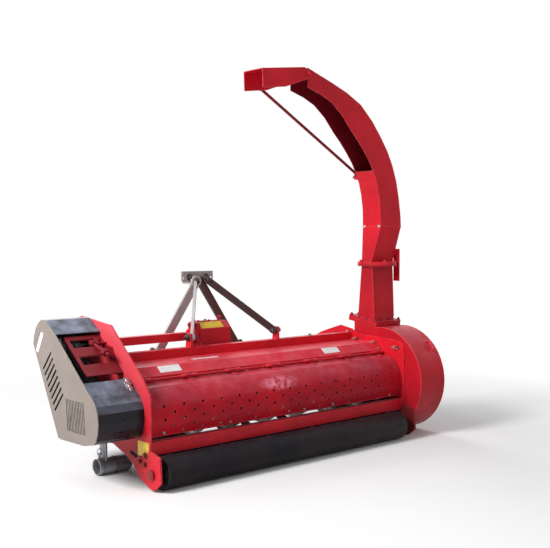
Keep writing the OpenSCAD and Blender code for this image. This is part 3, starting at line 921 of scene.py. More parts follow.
    @classmethod
    def strip(
        cls, name: str, path: list[Vector], across: Vector, width: float, thick: float, bevel: float = 0.0008,
    ) -> Piece:
        """Draw a flat strip along a path by extruding its end edge.

        Args:
            name: the piece's name.
            path: the middle line's points.
            across: the direction of the strip's width.
            width: its width in metres.
            thick: its thickness in metres.
            bevel: the width of its eased edges.

        Returns:
            The strip.
        """
        cls.clear()
        bpy.ops.mesh.primitive_plane_add(size=1)
        obj = cls.settle(name)
        mesh = cls.edit(obj, "EDGE")
        side = across.normalized() * width / 2
        corners = [path[0] - side, path[0] + side, path[1] + side, path[1] - side]
        for vert, corner in zip(mesh.faces[:][0].verts, corners):
            vert.co = corner
        bpy.ops.mesh.select_all(action="DESELECT")
        for edge in mesh.edges:
            middle = (edge.verts[0].co + edge.verts[1].co) / 2
            edge.select_set((middle - path[1]).length < 1e-6)
        bmesh.update_edit_mesh(obj.data)
        for here, there in zip(path[1:], path[2:]):
            bpy.ops.mesh.extrude_region_move(TRANSFORM_OT_translate={"value": there - here})
        bpy.ops.mesh.select_all(action="SELECT")
        bpy.ops.mesh.normals_make_consistent(inside=False)
        bpy.ops.object.mode_set(mode="OBJECT")
        cls.modify(obj, "SOLIDIFY", thickness=thick, offset=0.0, use_even_offset=True)
        return cls.ease(obj, bevel, 1)

    @classmethod
    def bead(cls, name: str, path: list[Vector], radius: float, closed: bool = False) -> Piece:
        """Run a round bead, such as a weld or a rolled edge, along a path.

        Args:
            name: the piece's name.
            path: the points that it follows.
            radius: its radius in metres.
            closed: whether it runs back to its start.

        Returns:
            The bead as a mesh.
        """
        curve = bpy.data.curves.new(name, "CURVE")
        curve.dimensions = "3D"
        curve.bevel_depth = radius
        curve.bevel_resolution = 2
        curve.use_fill_caps = not closed
        line = curve.splines.new("POLY")
        line.points.add(len(path) - 1)
        for point, place in zip(line.points, path):
            point.co = (*place, 1.0)
        line.use_cyclic_u = closed
        obj = bpy.data.objects.new(name, curve)
        bpy.context.collection.objects.link(obj)
        cls.take(obj)
        bpy.ops.object.convert(target="MESH")
        return bpy.context.object

    @classmethod
    def rivet(cls, place: Vector, normal: Vector) -> Piece:
        """Model a small round-headed rivet on a surface.

        Args:
            place: the rivet's seat.
            normal: the direction that it stands in.

        Returns:
            The rivet.
        """
        obj = cls.rod("rivet", Vector(), Z * 0.0012, 0.0032, 12)
        cls.step(obj, Z, 0.0011, 0.0005)
        return cls.stand(obj, place, normal)

    @classmethod
    def join(cls, name: str, parts: list[Piece]) -> Piece:
        """Join several pieces into one.

        Args:
            name: the joined piece's name.
            parts: the pieces.

        Returns:
            The joined piece.
        """
        cls.take(parts[0])
        for part in parts:
            part.select_set(True)
        if len(parts) > 1:
            bpy.ops.object.join()
        obj = bpy.context.object
        obj.name = name
        return obj

    @classmethod
    def dress(cls, obj: Piece, finish: Finish, body: Body, slot: Slot, smooth: float = 32.0) -> Piece:
        """Paint a piece, smooth it and let it ride on its body.

        Args:
            obj: the piece.
            finish: its finish.
            body: the body that it moves with.
            slot: the record's slot for its finish; not used.
            smooth: the angle under which faces shade smoothly.

        Returns:
            The piece.
        """
        cls.take(obj)
        bpy.ops.object.shade_smooth_by_angle(angle=math.radians(smooth))
        obj.data.materials.clear()
        obj.data.materials.append(PAINT(finish))
        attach(obj, body.value)
        return obj

    @classmethod
    def unite(cls, name: str, parts: list[Piece], finish: Finish, body: Body, slot: Slot) -> Piece:
        """Join several pieces into one and dress it.

        Args:
            name: the joined piece's name.
            parts: the pieces.
            finish: their finish.
            body: the body that they move with.
            slot: the record's slot for their finish.

        Returns:
            The joined piece.
        """
        return cls.dress(cls.join(name, parts), finish, body, slot)


@dataclass
class BoltKit:
    """Hexagon bolts with washers, modelled once for each size, in metres."""

    across: float = 0.019
    washer: float = 0.030
    head: float = 0.009
    stud: float = 0.0
    washer_thick: float = 0.0025

    def template(self) -> Piece:
        """Model one bolt standing on +Z at the origin.

        Returns:
            The template, which is deleted after copying.
        """
        base = Z * self.washer_thick
        top = base + Z * self.head
        plate = Bench.rod("washer", Vector(), base, self.washer / 2, 20)
        Bench.ease(plate, 0.0006, 1)
        head = Bench.rod("head", base, top, self.across / math.sqrt(3), 6)
        Bench.step(head, Z, self.across * 0.09, self.head * 0.16)
        parts = [plate, head]
        if self.stud:
            parts.append(Bench.rod("stud", top, top + Z * self.stud, self.across * 0.30, 12))
        return Bench.join("bolt", parts)

    def copies(self, seats: Seats) -> list[Piece]:
        """Put a copy of the bolt on each seat.

        Args:
            seats: pairs of a place and the direction that its bolt stands in.

        Returns:
            The bolts, each with its own mesh.
        """
        model = self.template()
        bolts = []
        for place, normal in seats:
            bolt = model.copy()
            bolt.data = model.data.copy()
            bpy.context.collection.objects.link(bolt)
            bolts.append(Bench.stand(bolt, place, normal))
        bpy.data.objects.remove(model)
        return bolts

    def set(
        self, name: str, seats: Seats, body: Body, finish: Finish = BOLT_STEEL, slot: Slot = Slot.STEEL,
    ) -> Piece:
        """Put a bolt on each seat and join them into one piece.

        Args:
            name: the piece's name.
            seats: pairs of a place and the direction that its bolt stands in.
            body: the body that they ride on.
            finish: their finish.
            slot: the record's slot.

        Returns:
            The joined bolts.
        """
        return Bench.unite(name, self.copies(seats), finish, body, slot)


@dataclass
class FlangeBearing:
    """A cast bearing unit bolted to a plate, in metres."""

    plate: float = 0.112
    thick: float = 0.012
    boss: float = 0.042
    depth: float = 0.030
    capped: bool = True

    def foot(self) -> Piece:
        """Cast the square foot with its rounded corners.

        Returns:
            The foot, on the origin.
        """
        half = Vector((self.plate / 2, self.plate / 2, 0))
        foot = Bench.block("foot", -half, half + Z * self.thick, 0.0)
        mesh = Bench.edit(foot, "EDGE")
        for edge in mesh.edges:
            edge.select_set(abs(edge.verts[0].co.z - edge.verts[1].co.z) > self.thick / 2)
        bmesh.update_edit_mesh(foot.data)
        bpy.ops.mesh.bevel(offset=self.plate * 0.16, segments=4)
        bpy.ops.object.mode_set(mode="OBJECT")
        return Bench.ease(foot, 0.002)

    def build(self, name: str, seat: Vector, normal: Vector) -> Piece:
        """Model the unit on its seat.

        Args:
            name: the piece's name.
            seat: the middle of the unit's foot.
            normal: the direction that it stands in.

        Returns:
            The unit.
        """
        boss = Bench.rod("boss", Z * self.thick * 0.5, Z * (self.thick + self.depth), self.boss, 36)
        Bench.step(boss, Z, self.boss * 0.16, -0.004)
        if self.capped:
            Bench.step(boss, Z, self.boss * 0.10, 0.007)
        Bench.ease(boss, 0.0015)
        at = self.plate / 2 * 0.72
        corners = [(Vector((sx * at, sy * at, self.thick)), Z) for sx in (1, -1) for sy in (1, -1)]
        bolts = BoltKit(0.019, 0.026, 0.009).copies(corners)
        root = Y * self.boss * 0.95 + Z * (self.thick + 0.016)
        nipple = Bench.rod("nipple", root, root + Y * 0.011 + Z * 0.006, 0.0035, 8)
        return Bench.stand(Bench.join(name, [self.foot(), boss, nipple, *bolts]), seat, normal)


# --------------------------------------------------------------- assemblies
@dataclass
class BeltGuard:
    """The side guard over the belts, with its catch, seam and blank oval."""

    face_x: float = -1175.0
    seam: tuple[Pair, ...] = (
        (392, 786), (424, 768), (452, 738), (470, 700), (478, 660), (228, 222), (200, 217), (-20, 222),
        (-98, 238), (-122, 256), (-138, 292), (-144, 336), (-139, 382), (-122, 417), (-94, 447), (-22, 501),
        (262, 727), (362, 784))
    seam_inset: float = 3.0
    seam_radius: float = 3.2
    oval_ends: tuple[Pair, Pair] = ((380, 724), (440, 622))
    oval_width: float = 26.0
    louvre_count: int = 12
    louvre_pitch: float = 14.6
    louvre_foot: Pair = (-31.0, 273.0)
    louvre_lean: float = math.radians(7.0)
    louvre_length: float = 150.0
    louvre_fold: tuple[Pair, ...] = ((2.5, -2.5), (6.0, 2.0), (12.0, 4.0))
    # corners of the sheet of painted shade behind the slots
    shade_sheet_low: Point = (14.0, -48.0, 250.0)
    shade_sheet_high: Point = (16.0, 168.0, 440.0)
    catch_seat: Point = (-948.0, -40.0, 486.0)
    catch_slope: Point = (0.0, 264.0, 233.0)
    catch_arm: tuple[Pair, ...] = ((-40, 5), (-24, 9), (6, 10), (22, 14), (30, 12))
    catch_hook: tuple[Point, ...] = (
        (-8, 0, 10), (-8, 30, 12), (-8, 40, 8), (8, 40, 8), (8, 30, 12), (8, 0, 10))
    catch_pin_rise: float = 10.0
    rear_bolt: Point = (-1010.0, 474.0, 680.0)
    foot_bolts: tuple[Point, ...] = ((-1060, 100, 219), (-960, 100, 219))

    def seam_bead(self) -> Piece:
        """Roll the face's edge over the rim.

        Returns:
            The bead.
        """
        middle_y = sum(y for y, _ in self.seam) / len(self.seam)
        middle_z = sum(z for _, z in self.seam) / len(self.seam)
        path = []
        for y, z in self.seam:
            inward = Vector((0, middle_y - y, middle_z - z)).normalized() * self.seam_inset * MM
            path.append(spot(self.face_x + self.seam_radius, y, z) + inward)
        bead = Bench.bead("guard_seam", path, self.seam_radius * MM, closed=True)
        return Bench.dress(bead, GUARD, Body.FRAME, Slot.GUARD)

    def blank_oval(self) -> Piece:
        """Stick the blank white oval near the top of the face.

        Returns:
            The oval.
        """
        top, foot = (spot(self.face_x, *end) for end in self.oval_ends)
        run, width = foot - top, self.oval_width * MM
        oval = Bench.oblong("guard_blank", (top + foot) / 2, -X, run, run.length, width, 0.0006)
        return Bench.dress(oval, WHITE_BLANK, Body.FRAME, Slot.GUARD)

    def louvres(self) -> Piece:
        """Fit a turned-in blade in each leaning slot.

        Returns:
            The blades as one piece.
        """
        up = Vector((0, math.sin(self.louvre_lean), math.cos(self.louvre_lean)))
        blades = []
        for i in range(self.louvre_count):
            foot = spot(self.face_x, self.louvre_foot[0] + i * self.louvre_pitch, self.louvre_foot[1])
            middle = foot + up * self.louvre_length / 2 * MM
            path = [middle + (X * dx + Y * dy) * MM for dx, dy in self.louvre_fold]
            blades.append(Bench.strip("blade", path, up, self.louvre_length * MM, 0.0012, 0.0003))
        # the blades' dark brown is painted shade inside the slots
        return Bench.unite("guard_louvres", blades, LOUVRE_SHADED, Body.FRAME, Slot.GUARD)

    def shade_lining(self) -> Piece:
        """Set a dark sheet of painted shade behind the slots, as seen through them.

        Returns:
            The sheet of painted shade.
        """
        face = X * self.face_x * MM
        low, high = face + spot(*self.shade_sheet_low), face + spot(*self.shade_sheet_high)
        shade_sheet = Bench.block("guard_shade_sheet", low, high, 0.0004)
        Bench.step(shade_sheet, -X, 0.008, -0.0006)
        return Bench.dress(shade_sheet, SHADE_BLACK, Body.FRAME, Slot.RIM)

    def catch(self) -> Piece:
        """Fit the over-centre catch that holds the guard to the end plate.

        Returns:
            The catch.
        """
        slope = Vector(self.catch_slope).normalized()
        out = slope.cross(-X)
        seat = spot(*self.catch_seat)
        plate = Bench.oblong("catch_plate", seat, out, slope, 0.062, 0.026, 0.003)
        path = [seat + (slope * a + out * b) * MM for a, b in self.catch_arm]
        arm = Bench.strip("catch_arm", path, X, 0.016, 0.003)
        pivot = seat + out * self.catch_pin_rise * MM
        pin = Bench.rod("catch_pin", pivot - X * 0.017, pivot + X * 0.017, 0.004, 14)
        loop = [seat + (X * s + slope * a + out * b) * MM for s, a, b in self.catch_hook]
        hook = Bench.bead("catch_hook", loop, 0.0022)
        return Bench.unite("guard_catch", [plate, arm, pin, hook], STEEL, Body.FRAME, Slot.STEEL)

    def bolts(self) -> Piece:
        """Bolt the guard's rim to the end plate's flange.

        Returns:
            The bolts.
        """
        seats = [(spot(*self.rear_bolt), Vector((0, 0.97, 0.2)))]
        seats += [(spot(*place), -Z) for place in self.foot_bolts]
        return BoltKit(0.013, 0.020, 0.006).set("guard_bolts", seats, Body.FRAME)

    def build(self) -> list[Piece]:
        """Build every piece of the guard."""
        return [self.seam_bead(), self.blank_oval(), self.louvres(), self.shade_lining(), self.catch(),
                self.bolts()]


@dataclass
class EndPlates:
    """Blank plates, bearing units and bolts on the two end plates."""

    left_x: float = -920.0
    right_x: float = 920.0
    shaft: Pair = (350.0, 648.0)
    auger: Pair = (0.0, 325.0)
    rotor: Pair = (375.0, 325.0)
    rotor_right: Pair = (378.0, 325.0)
    blank_low: Pair = (-178.0, 153.0)
    blank_high: Pair = (-84.0, 224.0)
    blank_thick: float = 1.6
    blank_rivet: Pair = (6.0, 5.0)
    bracket_slot: Pair = (-46.0, 150.0)
    bracket_slot_way: Point = (0.0, 1.0, 0.25)
    bracket_bolts: tuple[Pair, ...] = ((-160, 120), (-160, 165), (-120, 130))
    bracket_thick: float = 10.0
    tab_x: float = 905.0
    tab_places: tuple[Pair, ...] = ((196, 562), (44, 551), (-128, 534))
    strap_bolt_y: Pair = (209.0, 241.0)
    strap_bolt_z: Pair = (182.0, 200.0)
    right_bracket_bolts: tuple[Pair, ...] = ((-160, 118), (-160, 150))

    def yellow_blank(self) -> Piece:
        """Rivet the blank yellow plate to the left end plate's heel.

        Returns:
            The plate with its rivets.
        """
        face = self.left_x - self.blank_thick
        plate = Bench.block("plate", spot(face, *self.blank_low), spot(self.left_x, *self.blank_high), 0.0005)
        Bench.step(plate, -X, 0.006, 0.0003)
        (y0, z0), (y1, z1), (dy, dz) = self.blank_low, self.blank_high, self.blank_rivet
        rivets = [Bench.rivet(spot(face, y, z), -X) for y in (y0 + dy, y1 - dy) for z in (z0 + dz, z1 - dz)]
        return Bench.unite("plate_blank_left", [plate, *rivets], YELLOW_BLANK, Body.FRAME, Slot.RED)

    def slot_plate(self) -> list[Piece]:
        """Show the roller bracket's setting slot as a flat dark oblong of painted shade, with its bolts.

        Returns:
            The slot's painted shade and the bolts.
        """
        middle = spot(self.left_x, *self.bracket_slot)
        way = Vector(self.bracket_slot_way)
        # a flat black oblong of painted shade where the slot opens
        dark = Bench.oblong("roller_slot_shade_left", middle, -X, way, 0.062, 0.020, 0.0008)
        Bench.dress(dark, SHADE_BLACK, Body.FRAME, Slot.RED)
        seats = [(spot(self.left_x - self.bracket_thick, y, z), -X) for y, z in self.bracket_bolts]
        return [dark, BoltKit().set("roller_bracket_bolts_left", seats, Body.FRAME, RED_SHADED, Slot.RED)]

    def bearings(self) -> list[Piece]:
        """Bolt a bearing unit at each end of the shafts.

        Returns:
            The units.
        """
        left, right = (self.left_x, -X), (self.right_x, X)
        kinds = (
            ("bearing_drive", FlangeBearing(0.104, 0.012, 0.036, 0.024, False), left, self.shaft),
            ("bearing_auger_left", FlangeBearing(0.138, 0.014, 0.052, 0.028, False), left, self.auger),
            ("bearing_rotor_left", FlangeBearing(0.128, 0.014, 0.050), left, self.rotor),
            ("bearing_rotor_right", FlangeBearing(0.100, 0.014, 0.046), right, self.rotor_right))
        return [Bench.dress(kind.build(name, spot(x, *place), way), RED_SHADED, Body.FRAME, Slot.RED)
                for name, kind, (x, way), place in kinds]

    def tabs(self) -> Piece:
        """Weld a small bright angle behind each setting slot of the right plate.

        Returns:
            The angles and their bolts as one piece.
        """
        parts = []
        for y, z in self.tab_places:
            at = spot(self.tab_x, y, z)
            corner = at + X * 0.007
            parts.append(Bench.strip("tab", [corner - Z * 0.016, corner, at - X * 0.030], Y, 0.026, 0.004))
            seat = at - X * 0.012
            parts.append(Bench.rod("tab_bolt", seat, seat + Z * 0.009, 0.007, 6))
        return Bench.unite("end_tabs_right", parts, BOLT_STEEL, Body.FRAME, Slot.RED)

    def stand_bolts(self) -> Piece:
        """Bolt the stands and the right roller bracket to the end plates.

        Returns:
            The bolts.
        """
        sides = ((self.left_x - self.bracket_thick, -X), (self.right_x, X))
        seats = [(spot(x, y, z), way)
                 for x, way in sides for y in self.strap_bolt_y for z in self.strap_bolt_z]
        seats += [(spot(self.right_x, y, z), X) for y, z in self.right_bracket_bolts]
        return BoltKit().set("stand_bolts", seats, Body.FRAME, MAST_DARK, Slot.MAST)

    def build(self) -> list[Piece]:
        """Build every piece of the end plates."""
        return [self.yellow_blank(), *self.slot_plate(), *self.bearings(), self.tabs(), self.stand_bolts()]


@dataclass
class Hood:
    """Blank stickers, welds and fixings on the hood and beams, and the scraper."""

    top_z: float = 550.0
    brow: Pair = (38.0, 550.0)
    ledge: Pair = (-13.0, 508.0)
    blanks: tuple[Pair, ...] = ((-728, -596), (430, 560))
    blank_width: float = 44.0
    blank_share: float = 0.38
    strip_place: Pair = (-350.0, 131.0)
    label_thick: float = 0.0006
    tube_rise: float = 48.0
    ledge_bolt: Point = (894.0, 2.0, 512.0)
    ledge_way: Point = (0.0, -0.63, 0.77)
    tube_y: float = 264.0
    tube_bolts: tuple[float, ...] = (-895, -560, 560, 895)
    weld_x: float = 911.0
    weld_paths: tuple[tuple[Pair, ...], ...] = (
        ((38, 551), (140, 551), (238, 551)), ((240, 552), (240, 598), (288, 598)),
        ((-178, 161), (-178, 222), (-134, 222)))
    scraper_fold: tuple[Pair, ...] = ((-160, 160), (-160, 132), (-176, 118))
    scraper_length: float = 1740.0
    scraper_bolts: tuple[float, ...] = (-800, -480, -160, 160, 480, 800)
    scraper_seat: Pair = (-162.5, 146.0)

    def stickers(self) -> Piece:
        """Stick the blank white labels on the hood's sloping step and flat top.

        Returns:
            The labels as one piece.
        """
        brow, ledge = spot(0, *self.brow), spot(0, *self.ledge)
        out = (brow - ledge).cross(-X).normalized()
        width, thick = self.blank_width * MM, self.label_thick
        parts = []
        for x0, x1 in self.blanks:
            middle = brow.lerp(ledge, self.blank_share) + X * (x0 + x1) / 2 * MM
            parts.append(Bench.tablet("label", middle, out, X, (x1 - x0) * MM, width, thick))
        parts.append(Bench.tablet("strip", spot(*self.strip_place, self.top_z), Z, X, 0.170, 0.034, thick))
        return Bench.unite("hood_blanks", parts, WHITE_BLANK, Body.FRAME, Slot.RED)

    def bolts(self) -> Piece:
        """Bolt the hood's rear ledge and the rear tube.

        Returns:
            The bolts.
        """
        x0, y0, z0 = self.ledge_bolt
        seats = [(spot(x, y0, z0), Vector(self.ledge_way)) for x in (-x0, x0)]
        seats += [(spot(x, self.tube_y, self.top_z + self.tube_rise), Z) for x in self.tube_bolts]
        return BoltKit(0.017, 0.026, 0.008).set("hood_bolts", seats, Body.FRAME, STEEL)

    def welds(self) -> Piece:
        """Run the weld beads that join hood, tubes and end plates.

        Returns:
            The beads as one piece.
        """
        beads = [Bench.bead("weld", [spot(s * self.weld_x, y, z) for y, z in path], 0.003)
                 for s in (-1, 1) for path in self.weld_paths]
        return Bench.unite("hood_welds", beads, RED, Body.FRAME, Slot.RED)

    def scraper(self) -> list[Piece]:
        """Hang the roller's scraper strip under the rear beam.

        Returns:
            The strip and its bolts.
        """
        path = [spot(0, y, z) for y, z in self.scraper_fold]
        blade = Bench.strip("roller_scraper", path, X, self.scraper_length * MM, 0.005)
        Bench.dress(blade, ROLLER, Body.FRAME, Slot.ROLLER)
        seats = [(spot(x, *self.scraper_seat), -Y) for x in self.scraper_bolts]
        kit = BoltKit(0.016, 0.024, 0.007)
        return [blade, kit.set("scraper_bolts", seats, Body.FRAME, MAST_DARK, Slot.MAST)]

    def build(self) -> list[Piece]:
        """Build every piece on the hood and beams."""
        return [self.stickers(), self.bolts(), self.welds(), *self.scraper()]


@dataclass
class RearCover:
    """Hem, bolts and hinge leaves of the perforated rear cover."""

    half: float = 902.0
    centre: Pair = (-20.0, 330.0)
    radius: float = 155.0
    hem_inset: float = 2.0
    hem_angle: float = math.radians(215)
    bolt_angle: float = math.radians(209)
    bolt_places: tuple[float, ...] = (-820, -410, 112, 336, 820)
    leaf_places: tuple[float, ...] = (-860, -574, -287, 0, 287, 574, 860)
    leaf_low: Point = (-17.0, -64.0, 474.6)
    leaf_high: Point = (17.0, -32.0, 480.4)
    leaf_pivot: Pair = (-48.0, 478.0)
    leaf_lean: float = math.radians(11.2)
    leaf_rivet: Point = (9.0, -52.0, 479.6)
    leaf_way: Point = (0.0, -0.2, 1.0)

    def hem(self) -> Piece:
        """Roll the cover's lower edge.

        Returns:
            The bead.
        """
        reach = self.radius - self.hem_inset
        y = self.centre[0] + reach * math.cos(self.hem_angle)
        z = self.centre[1] + reach * math.sin(self.hem_angle)
        bead = Bench.bead("cover_hem", [spot(x, y, z) for x in (-self.half, 0, self.half)], 0.0045)
        return Bench.dress(bead, RED_SHADED_COVER, Body.COVER, Slot.RED)

    def bolts(self) -> Piece:
        """Set small bolts along the lower edge.

        Returns:
            The bolts.
        """
        out = Vector((0, math.cos(self.bolt_angle), math.sin(self.bolt_angle)))
        seats = [(spot(x, *self.centre) + out * self.radius * MM, out) for x in self.bolt_places]
        return BoltKit(0.010, 0.016, 0.005).set("cover_bolts", seats, Body.COVER)

    def leaves(self) -> Piece:
        """Rivet a small leaf under each hinge knuckle.

        Returns:
            The leaves with their rivets.
        """
        dx, y, z = self.leaf_rivet
        parts = []
        for x in self.leaf_places:
            shift = X * x * MM
            leaf = Bench.block("leaf", spot(*self.leaf_low) + shift, spot(*self.leaf_high) + shift, 0.0008)
            pivot = spot(x, *self.leaf_pivot)
            turn = Matrix.Rotation(self.leaf_lean, 4, "X")
            leaf.data.transform(Matrix.Translation(pivot) @ turn @ Matrix.Translation(-pivot))
            parts.append(leaf)
            parts += [Bench.rivet(spot(x + s * dx, y, z), Vector(self.leaf_way)) for s in (-1, 1)]
        return Bench.unite("cover_hinge_leaves", parts, RED_SHADED_COVER, Body.COVER, Slot.RED)

    def build(self) -> list[Piece]:
        """Build every piece of the cover."""
        return [self.hem(), self.bolts(), self.leaves()]


@dataclass
class HitchFrame:
    """Bolts, pins and welds of the three-point hitch."""

    centre_x: float = -110.0
    pin: Pair = (640.0, 345.0)
    pin_reach: float = 66.0
    spread: float = 825.0
    strap_bolt: float = 60.0
    strap_rear: Pair = (516.0, 968.0)
    strap_front: Pair = (528.0, 978.0)
    foot_bolt: float = 286.0
    foot_bolt_gap: float = 36.0
    foot_seat: Pair = (514.0, 559.0)
    brace_heads: tuple[Point, ...] = ((-30, 486, 945), (48, 486, 955))
    lug_seat: Pair = (263.0, 650.0)
    lug_bolts_x: tuple[Pair, ...] = ((-366, -1), (-334, 1), (256, -1), (288, 1))
    bracket_inset: float = 60.0
    bracket_half: float = 9.0
    weld_y: float = 539.0
    weld_z: tuple[float, ...] = (500, 520, 543)

    def bolts(self) -> Piece:
        """Bolt the strap, legs, feet and braces together.

        Returns:
            The bolts.
        """
        middle, gap = self.centre_x, self.foot_bolt_gap
        seats = [(spot(middle + s * self.strap_bolt, *self.strap_rear), -Y) for s in (-1, 1)]
        seats += [(spot(middle + s * self.strap_bolt, *self.strap_front), Y) for s in (-1, 1)]
        seats += [(spot(middle + s * self.foot_bolt + dx, *self.foot_seat), Z)
                  for s in (-1, 1) for dx in (-gap, gap)]
        seats += [(spot(middle + x, y, z), -Y) for x, y, z in self.brace_heads]
        return BoltKit(0.024, 0.040, 0.012, 0.006).set("mast_bolts", seats, Body.FRAME, MAST_DARK, Slot.MAST)

    def lug_bolts(self) -> Piece:
        """Pin the two braces to the lugs on the rear tube.

        Returns:
            The pins.
        """
        seats = [(spot(x, *self.lug_seat), X * way) for x, way in self.lug_bolts_x]
        return BoltKit(0.028, 0.042, 0.013, 0.008).set("brace_bolts", seats, Body.FRAME, MAST_DARK, Slot.MAST)

    def lynch_pins(self) -> Piece:
        """Put a ring pin through each lower hitch pin's end.

        Returns:
            The pins and their rings as one piece.
        """
        parts = []
        for s in (-1, 1):
            end = spot(self.centre_x + s * (self.spread / 2 + self.pin_reach), *self.pin)
            parts.append(Bench.rod("lynch", end - Z * 0.026, end + Z * 0.024, 0.0045, 12))
            ring = circle(end + Z * 0.021, 0.019, 24, Z, Y)
            parts.append(Bench.bead("ring", ring, 0.0022, closed=True))
        return Bench.unite("hitch_lynch_pins", parts, STEEL, Body.FRAME, Slot.STEEL)

    def welds(self) -> Piece:
        """Weld the hitch brackets' roots.

        Returns:
            The beads as one piece.
        """
        beads = []
        for s in (-1, 1):
            x = self.centre_x + s * (self.spread / 2 - self.bracket_inset)
            for side in (-self.bracket_half, self.bracket_half):
                path = [spot(x + side, self.weld_y, z) for z in self.weld_z]
                beads.append(Bench.bead("weld", path, 0.0035))
        return Bench.unite("hitch_welds", beads, MAST_DARK, Body.FRAME, Slot.MAST)

    def build(self) -> list[Piece]:
        """Build every piece of the hitch frame."""
        return [self.bolts(), self.lug_bolts(), self.lynch_pins(), self.welds()]


@dataclass
class GearboxTrim:
    """Blank plate, bolts, covers and the splined input of the gearbox."""

    left: float = -250.0
    right: float = -35.0
    shaft_z: float = 648.0
    input_x: float = -110.0
    blank_middle: Point = (-160.0, 325.0, 704.0)
    blank_slope: Point = (0.0, 40.0, 36.0)
    blank_rivet: float = 73.0
    side_inset: float = 20.0
    side_bolts: tuple[Pair, ...] = ((320, 616), (320, 706), (384, 616), (384, 706))
    right_bolts: tuple[Pair, ...] = ((322, 612), (322, 676), (390, 612), (390, 676))
    lid_bolts: tuple[Pair, ...] = ((-226, 357), (-226, 394), (-150, 357), (-150, 394))
    lid_low: Point = (-242.0, 350.0, 721.0)
    lid_high: Point = (-128.0, 401.0, 726.0)
    lid_bolt_z: float = 722.0
    neck_y: float = 422.0
    neck_bolt_radius: float = 0.037
    cap_place: Pair = (356.0, 646.0)
    cap_radius: float = 0.030
    seal_ring: Pair = (421.0, 423.5)
    face_y: float = 424.0
    spline_radius: float = 0.0175
    spline_depth: float = 0.0028
    spline_count: int = 6
    groove: Pair = (0.62, 0.70)

    def blank(self) -> Piece:
        """Rivet the blank yellow plate to the sloping rear top face.

        Returns:
            The plate with its rivets.
        """
        out = Vector(self.blank_slope).cross(-X).normalized()
        middle = spot(*self.blank_middle)
        plate = Bench.tablet("plate", middle, out, X, 0.158, 0.047, 0.0014)
        rivets = [Bench.rivet(middle + X * s * self.blank_rivet * MM + out * 0.0018, out) for s in (-1, 1)]
        return Bench.unite("gearbox_blank", [plate, *rivets], YELLOW_BLANK, Body.FRAME, Slot.RED)

    def bolts(self) -> Piece:
        """Bolt the gearbox's covers on.

        Returns:
            The bolts.
        """
        seats = [(spot(self.left - self.side_inset, y, z), -X) for y, z in self.side_bolts]
        neck = spot(self.input_x, self.neck_y, self.shaft_z)
        seats += [(place, Y) for place in circle(neck, self.neck_bolt_radius, 6, X, Z, math.pi / 6)]
        seats += [(spot(x, y, self.lid_bolt_z), Z) for x, y in self.lid_bolts]
        seats += [(spot(self.right, y, z), X) for y, z in self.right_bolts]
        return BoltKit(0.012, 0.018, 0.006).set("gearbox_bolts", seats, Body.FRAME, RED_SHADED, Slot.RED)

    def covers(self) -> Piece:
        """Raise the cast covers on the right side and the top.

        Returns:
            The covers as one piece.
        """
        inner, outer = (spot(x, *self.cap_place) for x in (self.right - 1, self.right + 4))
        side = Bench.rod("cap", inner, outer, self.cap_radius, 36)
        Bench.step(side, X, 0.006, 0.001)
        top = Bench.block("lid", spot(*self.lid_low), spot(*self.lid_high), 0.0012)
        return Bench.unite("gearbox_covers", [side, top], RED, Body.FRAME, Slot.RED)

    def seal(self) -> Piece:
        """Fit the input shaft's seal ring.

        Returns:
            The ring.
        """
        start, end = (spot(self.input_x, y, self.shaft_z) for y in self.seal_ring)
        ring = Bench.rod("gearbox_seal", start, end, 0.027, 36)
        Bench.step(ring, Y, 0.004, -0.001)
        return Bench.dress(ring, RUBBER, Body.FRAME, Slot.BELT)

    def splined_input(self) -> Piece:
        """Cut the splines and the locking groove of the input shaft.

        Returns:
            The shaft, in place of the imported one.
        """
        low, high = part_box("pto_shaft")
        start = spot(self.input_x, self.face_y, self.shaft_z)
        end = Vector((start.x, high.y, start.z))
        shaft = Bench.rod("pto_splines", start, end, self.spline_radius, 6 * self.spline_count)
        Bench.edit(shaft)
        for share in self.groove:
            bpy.ops.mesh.select_all(action="SELECT")
            bpy.ops.mesh.bisect(plane_co=start.lerp(end, share), plane_no=Y)
        mesh = bmesh.from_edit_mesh(shaft.data)
        pitch = 360 / self.spline_count
        for face in mesh.faces:
            out = face.calc_center_median() - start
            between = math.degrees(math.atan2(out.z, out.x)) % pitch > pitch / 2
            grooved = self.groove[0] < out.y / (end.y - start.y) < self.groove[1]
            face.select_set(abs(face.normal.y) < 0.1 and (between or grooved))
        bmesh.update_edit_mesh(shaft.data)
        sunk = {"value": -self.spline_depth}
        bpy.ops.mesh.extrude_region_shrink_fatten(TRANSFORM_OT_shrink_fatten=sunk)
        bpy.ops.object.mode_set(mode="OBJECT")
        neck = Bench.rod("neck", Vector((start.x, low.y, start.z)), start, 0.015, 24)
        splines = Bench.join("pto_splines", [shaft, neck])
        Bench.dress(splines, WORN_STEEL, Body.PTO, Slot.STEEL, 20.0)
        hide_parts("pto_shaft")
        return splines

    def build(self) -> list[Piece]:
        """Build every piece of the gearbox."""
        return [self.splined_input(), self.blank(), self.bolts(), self.covers(), self.seal()]


